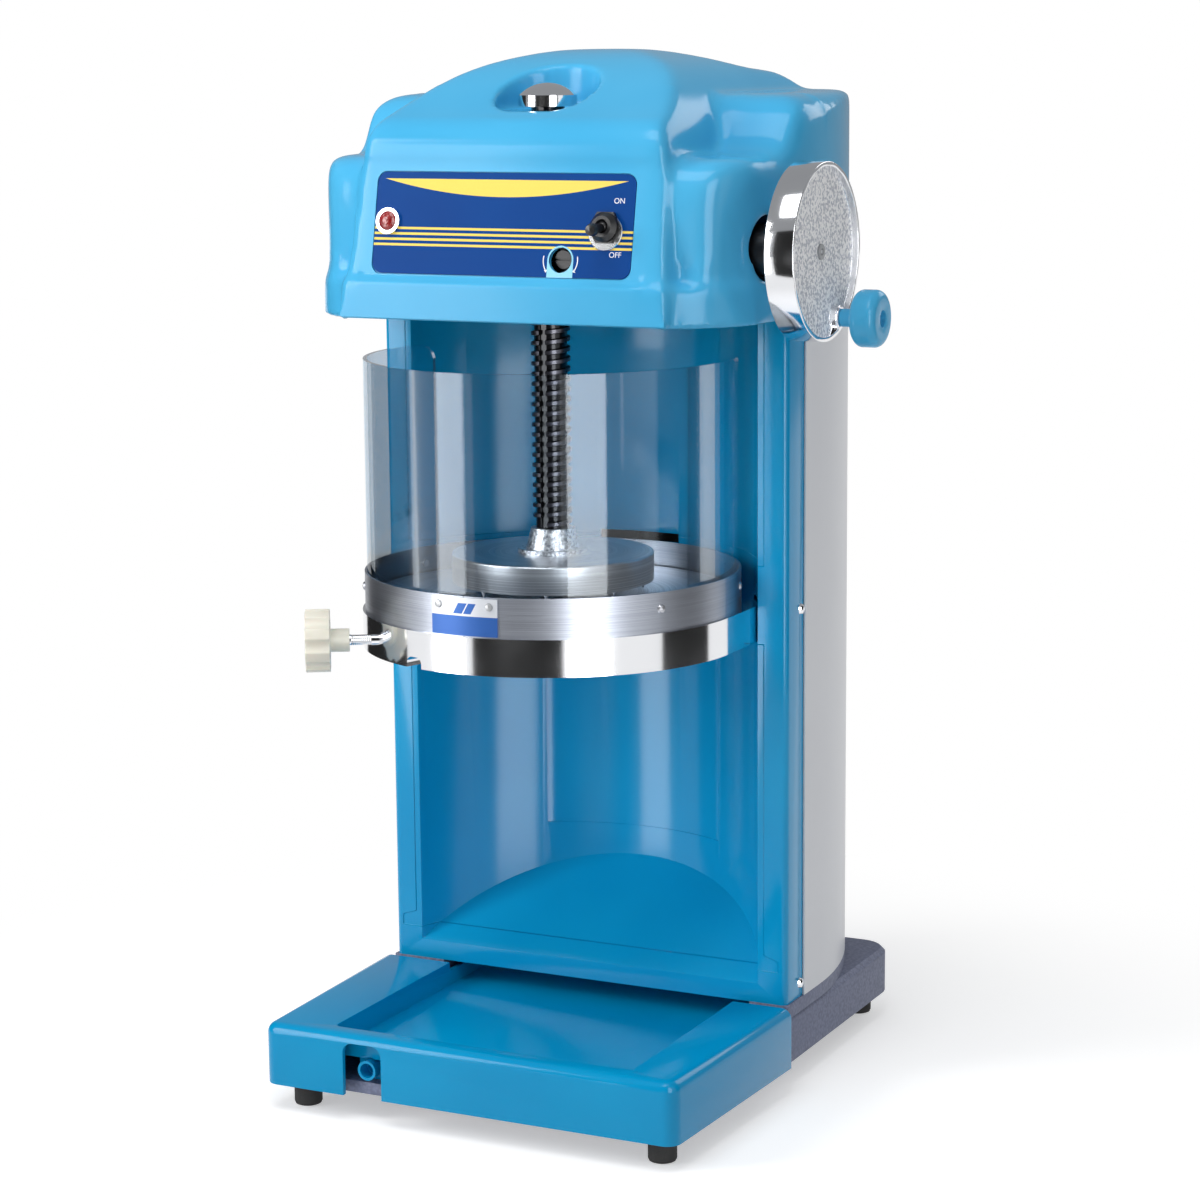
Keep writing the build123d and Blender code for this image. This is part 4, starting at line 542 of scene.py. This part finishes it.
def cast_nickel():
    """Plated rough casting, as on the cone of the press."""
    finish = Finish("cast_nickel")
    coarse = finish.noise(finish.stretched(), 380.0, 4.0, 0.6)
    tone = finish.mix(finish.range(coarse, 0.35, 0.65), rgb(140, 142, 150), rgb(232, 233, 236))
    return finish.principled(Base_Color=tone, Metallic=0.95, Roughness=0.22 + 0.2 * coarse,
                             Normal=finish.bump(coarse, 0.7, 0.0008))


def ivory_moulding():
    """Cream plastic of the adjuster knob."""
    finish = Finish("ivory_moulding")
    flat = finish.stretched()
    drift = finish.noise(flat, 60.0, 3.0)
    fine = finish.noise(flat, 1200.0, 2.0)
    tone = finish.mix(drift, rgb(238, 235, 222), rgb(226, 221, 204))
    return finish.principled(Base_Color=tone, Roughness=0.36 + 0.1 * fine, IOR=1.5,
                             Subsurface_Weight=0.06, Normal=finish.bump(fine, 0.08, 0.0002))


def clear_guard_sheet():
    """Clear bent sheet: it shows what is behind it, with bright glints and brighter top edges."""
    finish = Finish("clear_guard_sheet")
    smudge = finish.noise(finish.stretched(), 18.0, 3.0)
    glint = Value(finish.tree, finish.node("LayerWeight", Blend=0.25).outputs["Fresnel"])
    surface = finish.node("NewGeometry")
    split = finish.node("SeparateXYZ", Vector=surface.outputs["Normal"])
    upward = Value(finish.tree, split.outputs[2])
    edge = finish.range(upward.absolute(), 0.6, 0.9)
    mirror = finish.node("BsdfPrincipled", Base_Color=rgb(244, 247, 250), Metallic=1.0,
                         Roughness=0.03 + 0.05 * smudge)
    clear = finish.node("BsdfTransparent", Color=(0.94, 0.965, 0.98, 1))
    amount = (0.022 + 0.45 * glint + edge * 0.55).smaller(1.0)
    return finish.show(finish.blend("MixShader", clear, mirror, amount))


def printed_panel():
    """Dark blue plate with a yellow crescent above and thin stripes across, and no words."""
    finish = Finish("printed_panel")
    x, _, z = finish.place()
    across = x - panel_x
    up = z - panel_low.z
    crescent_sag = 0.0122
    crescent_half_width = panel_width / 2 - 0.006
    crescent_top = panel_high.z - panel_low.z - 0.0048
    curve = (crescent_top - crescent_sag
             + across ** 2.0 * (crescent_sag / crescent_half_width ** 2))
    crescent = up.below(crescent_top) * up.above(curve)
    stripe_low = 0.0198
    stripe_pitch = 0.0039
    stripe_width = 0.0017
    stripe_high = stripe_low + stripe_pitch * 4 - 0.001
    beat = (up - stripe_low).wrapped(stripe_pitch)
    stripes = beat.below(stripe_width) * up.above(stripe_low) * up.below(stripe_high)
    flat = finish.stretched()
    drift = finish.noise(flat, 20.0, 3.0)
    fine = finish.noise(flat, 1500.0, 2.0)
    blue = finish.mix(drift, rgb(0, 68, 142), rgb(0, 60, 132))
    yellow = finish.mix(fine, rgb(252, 226, 112), rgb(244, 214, 98))
    tone = finish.mix(crescent.larger(stripes), blue, yellow)
    return finish.principled(Base_Color=tone, Roughness=0.34 + 0.08 * fine,
                             Specular_IOR_Level=0.05, Normal=finish.bump(fine, 0.05, 0.0001))


def band_label():
    """Small plate: silver upper half with two plain slanted bars, blue lower half."""
    finish = Finish("band_label")
    x, _, z = finish.place()
    height = plate_high.z - plate_low.z
    up = z - plate_low.z
    slant = x - up * 0.55
    bar_starts = -0.0165, -0.0085
    bar_ends = -0.0095, -0.0025
    left, right = [slant.above(start) * slant.below(end)
                   for start, end in zip(bar_starts, bar_ends)]
    bars = left.larger(right) * up.above(height * 0.58) * up.below(height * 0.86)
    lower = up.below(height * 0.52)
    fine = finish.noise(finish.stretched(5, 5, 2600), 1.0, 2.0)
    silver = finish.mix(fine, rgb(222, 225, 230), rgb(198, 202, 210))
    tone = finish.mix(lower.larger(bars), silver, rgb(30, 90, 170))
    return finish.principled(Base_Color=tone, Metallic=0.25, Roughness=0.3 + 0.1 * fine)


def red_lens():
    """Red faceted cap of the reset button."""
    finish = Finish("red_lens")
    facet = finish.cells(finish.stretched(), 520.0)
    tone = finish.mix(facet, rgb(176, 40, 38), rgb(120, 18, 20))
    return finish.principled(Base_Color=tone, Roughness=0.1 + 0.1 * facet, IOR=1.5,
                             Coat_Weight=0.6, Coat_Roughness=0.04,
                             Normal=finish.bump(facet, 0.5, 0.0006))


def white_print():
    """White ink of the marks on the panel."""
    finish = Finish("white_print")
    fine = finish.noise(finish.stretched(), 1500.0, 2.0)
    tone = finish.mix(fine, rgb(246, 247, 250), rgb(228, 231, 238))
    return finish.principled(Base_Color=tone, Roughness=0.4 + 0.1 * fine)


# ------------------------------------------------------------------ the moulded head
fascia_low = Vector((0, -0.1406, 0.6143))
fascia_high = Vector((0, -0.1245, 0.698))
fascia_up = (fascia_high - fascia_low).normalized()
fascia_out = Vector((0, -fascia_up.z, fascia_up.y))
panel_x = (panel_low.x + panel_high.x) / 2
panel_mid_z = (panel_low.z + panel_high.z) / 2
panel_width = panel_high.x - panel_low.x
panel_height = (panel_high.z - panel_low.z) / fascia_up.z

head_voxel = 0.0022
head_rounds = 100
head_triangles = 185000
seat_room = 0.0012
seat_depth = 0.0016
seat_radius = 0.0078
control_hole_radii = {"reset_bezel": 0.0082, "toggle_switch": 0.0065, "brake_screw": 0.009}
through = 0.05


def on_fascia(shape, x, z):
    """Moves a shape made round the origin onto the sloping front, its +Z pointing out of it."""
    share = (z - fascia_low.z) / (fascia_high.z - fascia_low.z)
    place = fascia_low.lerp(fascia_high, share)
    place.x = x
    turn = Matrix((Vector((1, 0, 0)), fascia_up, fascia_out)).transposed().to_4x4()
    return moved(shape, Matrix.Translation(place) @ turn)


def sunk(shape, depth):
    """Moves a shape that lies on the sloping front into it."""
    return moved(shape, Matrix.Translation(-fascia_out * depth))


def rounded_plate(width, height, radius, depth):
    """Flat plate with round corners, lying round the origin."""
    corner_steps = 6
    points = []
    for turn, (right, top) in enumerate(((1, 1), (-1, 1), (-1, -1), (1, -1))):
        for step in range(corner_steps + 1):
            a = radians(90 * (turn + step / corner_steps))
            points.append((right * (width / 2 - radius) + radius * cos(a),
                           top * (height / 2 - radius) + radius * sin(a)))
    return prism(points, depth)


def drum(radius, depth):
    """Round plug, centred on the origin and standing along Z."""
    shape = bmesh.new()
    bmesh.ops.create_cone(shape, cap_ends=True, segments=48, radius1=radius, radius2=radius,
                          depth=depth)
    return shape


rim_held, rim_blend = 0.004, 0.026
shoulder_x, shoulder_back_y, shoulder_low_z = 0.128, 0.03, 0.63
pocket_radius, pocket_low_z = 0.052, 0.72
seat_half_width, seat_back_y, seat_high_z = 0.112, -0.118, 0.704
skin_loose, skin_held = 0.55, 0.1


def skin_weight(place):
    """How far a point of the head may relax, from 0 at the skirt's rim to 1 on the shoulders."""
    above_rim = (place.z - hood_low.z - rim_held) / rim_blend
    weight = skin_loose * min(max(above_rim, 0.0), 1.0)
    if abs(place.x) > shoulder_x and place.y < shoulder_back_y and place.z > shoulder_low_z:
        weight = 1.0
    from_spindle = (Vector((place.x, place.y, 0)) - spindle).length
    if from_spindle < pocket_radius and place.z > pocket_low_z:
        weight = skin_held
    if (abs(place.x - panel_x) < seat_half_width and place.y < seat_back_y
            and place.z < seat_high_z):
        weight = min(weight, skin_held)
    return weight


def relax(piece, weight_at, rounds):
    """Evens out a mesh by moving each point towards its neighbours, as far as its weight says."""
    shape = bmesh.new()
    shape.from_mesh(piece.data)
    levels = (0.05, 0.15, 0.3, 0.6, 1.0)
    groups = [[] for level in levels]
    for vert in shape.verts:
        weight = weight_at(vert.co)
        for level, group in zip(levels, groups):
            if weight >= level:
                group.append(vert)
    for turn in range(rounds):
        reached = sum(turn >= level * rounds for level in levels)
        group = groups[min(reached, len(levels) - 1)]
        bmesh.ops.smooth_vert(shape, verts=group, factor=0.5, use_axis_x=True, use_axis_y=True,
                              use_axis_z=True)
    shape.to_mesh(piece.data)
    shape.free()


def make_head(material):
    """Hood, shoulders and skirt as one moulding whose edges flow into each other."""
    patch_room = 0.004
    patch = on_fascia(rounded_plate(panel_width + patch_room, panel_height + patch_room,
                                    0.008, 0.0034), panel_x, panel_mid_z)
    whole = joined(welded_copy("head_cover"), sunk(patch, 0.0035))
    head = link("head_moulding", whole, "frame", "light_blue_moulding", material)
    remesh = head.modifiers.new("remesh", "REMESH")
    remesh.mode = "VOXEL"
    remesh.voxel_size = head_voxel
    apply_modifiers(head)
    relax(head, skin_weight, head_rounds)
    seat = on_fascia(rounded_plate(panel_width + seat_room, panel_height + seat_room,
                                   seat_radius, 0.02), panel_x, panel_mid_z)
    cut(head, sunk(seat, seat_depth))
    for node, radius in control_hole_radii.items():
        centre = middle(node)
        cut(head, on_fascia(drum(radius, through), centre.x, centre.z))
    thin = head.modifiers.new("thin", "DECIMATE")
    thin.ratio = min(1.0, head_triangles / sum(len(p.vertices) - 2 for p in head.data.polygons))
    apply_modifiers(head)
    shade(head, 42)
    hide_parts("head_cover")


# ------------------------------------------------------------------ make everything
def make_object():
    """Every piece that shows: CAD nodes with their paint, and the rebuilt pieces."""
    blue = glossy_moulding("blue_moulding", rgb(14, 162, 215), rgb(4, 153, 208), pressed=liner_fold)
    light_blue = glossy_moulding("light_blue_moulding", rgb(80, 180, 226), rgb(70, 173, 221), 0.2)
    tray_blue = glossy_moulding("tray_blue_moulding", rgb(0, 154, 206), rgb(0, 146, 199), 0.22)
    grey = hammered_grey()
    rubber = dark_rubber()
    black = black_moulding()
    mirror = chrome("polished_chrome")
    yoke_chrome = chrome("hairline_chrome", 0.08)
    band_metal = brushed_band_metal()
    disc_metal = turned_aluminium()
    steel = plain_metal("bright_steel", rgb(190, 192, 198), rgb(160, 162, 170))
    zinc = plain_metal("zinc_steel", rgb(176, 178, 180), rgb(150, 152, 156), 0.36)
    paint = plain_metal("motor_paint", rgb(88, 92, 98), rgb(70, 74, 80), 0.4)
    bronze = plain_metal("sintered_bronze", (0.50, 0.33, 0.14, 1), (0.42, 0.27, 0.11, 1), 0.34)
    thread = oiled_thread()
    ivory = ivory_moulding()
    clear = clear_guard_sheet()
    plain = {
        "rubber_feet": rubber, "foot_screws": zinc, "cord_gland": black, "drain_spout": tray_blue,
        "column_frame": zinc, "frame_plate": zinc, "blade_table": disc_metal,
        "blade_bridge": steel, "blade_carrier": steel, "blade": steel, "blade_screws": zinc,
        "guard_rivets": steel, "band_plate": band_label(), "band_plate_screws": zinc,
        "clear_guard": clear, "adjuster_stud": mirror, "press_spikes": steel,
        "press_hub": cast_nickel(), "spindle_screw": thread, "spindle_cap": mirror,
        "drive_hub": steel, "drive_key": steel, "hub_bearing": steel, "driven_pulley": paint,
        "motor_pulley": paint, "drive_belt": rubber, "motor_body": paint, "motor_shaft": steel,
        "motor_bolts": zinc, "feed_nut": bronze, "bevel_ring_gear": steel, "bevel_pinion": steel,
        # The brake screw is black as painted shade: it stands in for the dark inside its hole.
        "brake_band": zinc, "brake_screw": black, "bridge_plate": zinc, "bridge_posts": zinc,
        "crank_bracket": black, "crank_bushes": bronze, "crank_shaft": steel,
        "wheel_screw": zinc, "crank_pin": mirror, "head_floor": black,
        "control_panel": printed_panel(), "reset_bezel": mirror, "reset_button": red_lens(),
        "toggle_switch": black, "toggle_lever": black, "capacitor": black, "cover_screws": mirror,
        "guard_band": band_metal, "table_yoke": yoke_chrome, "press_disc": disc_metal,
        "column_rear_cover": pale_sheet_paint(),
    }
    for node, material in plain.items():
        slots = nodes[node].data.materials
        slots.clear()
        slots.append(material)
    make_head(light_blue)
    make_marks()
    softened("drip_tray", "tray", "blue_moulding", 0.0022, tray_blue)
    softened("column_front_cover", "frame", "blue_moulding", 0.0020, blue)
    softened("base_casting", "frame", "grey_casting", 0.0022, grey)
    softened("crank_knob", "crank_handle", "light_blue_moulding", 0.0008, light_blue)
    softened("adjuster_knob", "blade_adjuster", "ivory_plastic", 0.0012, ivory)
    rim_depth = 0.005

    def wheel_face(face):
        """1 on the sunk face inside the wheel's rim, 0 elsewhere."""
        away = abs(face.calc_center_median().x - (wheel_high.x - rim_depth))
        return int(face.normal.x > 0.9 and away < 0.0006)

    softened("hand_wheel", "crank", "wheel_silver", 0.0007, mirror, rough_silver_face(),
             pick=wheel_face)


# ------------------------------------------------------------------ marks on the panel
print_height = 0.00012
print_sink = 0.00022
word_size = 0.0055
arrow_radius = 0.0135
tab_radius = 0.0102


def lettering(text):
    """Raised print of a word, lying round the origin."""
    curve = bpy.data.curves.new(text, "FONT")
    curve.body = text
    curve.size = word_size
    curve.align_x = "CENTER"
    curve.align_y = "CENTER"
    curve.extrude = print_height / 2
    words = bpy.data.objects.new(text, curve)
    scene.collection.objects.link(words)
    bpy.context.view_layer.update()
    mesh = bpy.data.meshes.new_from_object(words)
    bpy.data.objects.remove(words)
    shape = bmesh.new()
    shape.from_mesh(mesh)
    bmesh.ops.remove_doubles(shape, verts=shape.verts, dist=fine_weld)
    return shape


def arc_arrow(start, end):
    """Thin arc with an arrow head, lying round the origin, from one angle to another."""
    half = 0.00035
    steps = 12
    angles = [radians(start + (end - start) * i / steps) for i in range(steps + 1)]
    points = [((arrow_radius + half) * cos(a), (arrow_radius + half) * sin(a)) for a in angles]
    points += [((arrow_radius - half) * cos(a), (arrow_radius - half) * sin(a))
               for a in reversed(angles)]
    clockwise = end < start
    if clockwise:
        points.reverse()
    tip = prism([(0, -0.0016), (0.0011, 0.0008), (-0.0011, 0.0008)], print_height)
    a = radians(end)
    turn = Matrix.Rotation(a + (pi / 2 if clockwise else -pi / 2), 4, "Z")
    at_end = Matrix.Translation((arrow_radius * cos(a), arrow_radius * sin(a), 0))
    return joined(prism(points, print_height), moved(tip, at_end @ turn))


def make_marks():
    """ON and OFF, arcs that show how the brake screw turns, its tab, and the toggle's washer."""
    packed = bpy.data.materials  # the tab and washer keep the frame's own plain materials
    toggle = middle("toggle_switch")
    brake = middle("brake_screw")
    prints = [(lettering("ON"), toggle.x + 0.009, panel_high.z - 0.0185),
              (lettering("OFF"), toggle.x + 0.0085, panel_low.z + 0.0165),
              (arc_arrow(168, 215), brake.x, brake.z),
              (arc_arrow(12, -35), brake.x, brake.z)]
    marks = joined(*[sunk(on_fascia(shape, x, z), print_sink) for shape, x, z in prints])
    link("panel_marks", marks, "frame", "printed_panel", white_print())

    foot = (brake.z - panel_low.z) / fascia_up.z
    crown = [(tab_radius * cos(radians(a)), tab_radius * sin(radians(a)))
             for a in range(0, 181, 10)]
    tab = prism(crown + [(-tab_radius, -foot), (tab_radius, -foot)], 0.0002)
    tab = sunk(on_fascia(tab, brake.x, brake.z), print_sink)
    tab_piece = link("brake_tab", tab, "frame", "light_blue_moulding",
                     packed["light_blue_moulding"])
    hole = drum(control_hole_radii["brake_screw"], through)
    cut(tab_piece, on_fascia(hole, brake.x, brake.z), "EXACT")

    washer = spun([(0.0075, 0), (0.0128, 0), (0.0132, 0.0005), (0.0128, 0.0011), (0.0075, 0.0011),
                   (0.0075, 0)])
    washer = on_fascia(washer, toggle.x, toggle.z + 0.0004)
    shade(link("toggle_washer", washer, "frame", "polished_chrome", packed["polished_chrome"]), 40)


# ------------------------------------------------------------------ studio
def make_floor():
    """Wide floor that is also the backdrop."""
    floor = bmesh.new()
    bmesh.ops.create_grid(floor, x_segments=1, y_segments=1, size=9.0)
    link("studio_floor", floor, None, None, floor_paint())


def seen_directly(finish):
    """1 where the camera, a reflection or a clear sheet looks at it, 0 where light lands on it."""
    path = finish.node("LightPath")
    camera, glossy, transmission = [
        Value(finish.tree, path.outputs[name])
        for name in ("Is Camera Ray", "Is Glossy Ray", "Is Transmission Ray")]
    return (camera + glossy + transmission).smaller(1.0)


def floor_paint():
    """Pale floor that keeps the shadow and runs out into the white backdrop."""
    finish = Finish("floor_paint")
    shadow_middle = (0.05, -0.1)
    fade_start, fade_end = 0.3, 0.75
    near = finish.blend("AddShader", finish.node("BsdfDiffuse", Color=(0.82, 0.82, 0.82, 1)),
                        finish.node("Emission", Color=(1, 1, 1, 1), Strength=0.42))
    white = finish.node("Emission", Color=(1, 1, 1, 1), Strength=1.0)
    fade = finish.range(finish.away_from(shadow_middle), fade_start, fade_end)
    seen = finish.blend("MixShader", near, white, fade)
    lit = finish.node("BsdfDiffuse", Color=(0.72, 0.72, 0.72, 1))
    return finish.show(finish.blend("MixShader", lit, seen, seen_directly(finish)))


def card_paint(name, strength):
    """Studio card that only reflections see: bright paper or black cloth."""
    finish = Finish(name)
    return finish.show(finish.node("Emission", Color=(1, 1, 1, 1), Strength=strength))


def studio_card(name, material, place, width, height, facing):
    """Flat card beside the camera's view, turned towards a point."""
    card = bmesh.new()
    bmesh.ops.create_grid(card, x_segments=1, y_segments=1, size=0.5)
    bmesh.ops.scale(card, vec=(width, height, 1), verts=card.verts)
    aim = (Vector(facing) - Vector(place)).to_track_quat("Z", "Y").to_matrix().to_4x4()
    moved(card, Matrix.Translation(place) @ aim)
    piece = link(name, card, None, None, material)
    piece.visible_camera = False
    piece.visible_diffuse = False
    piece.visible_shadow = False
    piece.visible_transmission = False


def ring_card(name, material, heading, width, away, low, high):
    """Upright card round the spindle at a heading in plan, 0 along +X and -90 to the front."""
    a = radians(heading)
    middle_z = (low + high) / 2
    place = (away * cos(a), spindle.y + away * sin(a), middle_z)
    studio_card(name, material, place, width, high - low, (0, spindle.y, middle_z))


def make_cards():
    """What the chrome, the guard and the gloss paint mirror."""
    bright = card_paint("bright_card", 7.0)
    soft = card_paint("soft_card", 1.0)
    black = card_paint("black_cloth", 0.02)
    ring_card("cloth_front", black, -84, 1.16, 1.2, 0.0, 1.3)
    ring_card("cloth_left", black, 176, 1.3, 1.3, 0.0, 1.3)
    ring_card("cloth_right", black, 20, 1.0, 1.5, 0.0, 1.3)
    ring_card("paper_left", bright, -125.5, 0.5, 1.5, 0.02, 1.3)
    ring_card("paper_right", bright, -43, 0.62, 1.5, 0.02, 1.5)
    ring_card("paper_side", soft, -12, 0.5, 1.6, 0.02, 1.5)


def make_world():
    """White to the camera, soft light on the object."""
    world = bpy.data.worlds.new("studio")
    world.use_nodes = True
    tree = world.node_tree
    tree.nodes.clear()
    out = tree.nodes.new("ShaderNodeOutputWorld")
    seen = tree.nodes.new("ShaderNodeBackground")
    seen.inputs["Color"].default_value = (1, 1, 1, 1)
    lit = tree.nodes.new("ShaderNodeBackground")
    lit.inputs["Color"].default_value = (0.95, 0.97, 1.0, 1)
    lit.inputs["Strength"].default_value = 0.33
    path = tree.nodes.new("ShaderNodeLightPath")
    mix = tree.nodes.new("ShaderNodeMixShader")
    tree.links.new(path.outputs["Is Camera Ray"], mix.inputs[0])
    tree.links.new(lit.outputs[0], mix.inputs[1])
    tree.links.new(seen.outputs[0], mix.inputs[2])
    tree.links.new(mix.outputs[0], out.inputs["Surface"])
    scene.world = world


lamp_target = Vector((0, 0, 0.42))


def area_lamp(name, place, width, height, power, colour=(1, 1, 1)):
    """Rectangular lamp that looks at the middle of the object."""
    data = bpy.data.lights.new(name, "AREA")
    data.shape = "RECTANGLE"
    data.size = width
    data.size_y = height
    data.energy = power
    data.color = colour
    lamp = bpy.data.objects.new(name, data)
    aim = (lamp_target - Vector(place)).to_track_quat("-Z", "Y")
    lamp.matrix_world = Matrix.Translation(place) @ aim.to_matrix().to_4x4()
    scene.collection.objects.link(lamp)


def make_lights():
    """Key from the front left, a top light, and weak fills from the other sides."""
    area_lamp("key_left", (-1.7, -1.75, 1.4), 0.8, 1.5, 33, (1, 0.99, 0.98))
    area_lamp("low_front", (0.1, -2.5, 0.4), 0.8, 0.5, 5)
    area_lamp("fill_right", (2.3, -0.7, 0.9), 0.5, 1.5, 5)
    area_lamp("top", (0.0, -0.9, 2.2), 1.2, 1.0, 17)
    area_lamp("back_rim", (0.9, 2.0, 1.5), 1.0, 1.0, 8)


make_camera()
make_world()
make_lights()
make_cards()
make_floor()
make_object()
scene.view_settings.view_transform = "Standard"
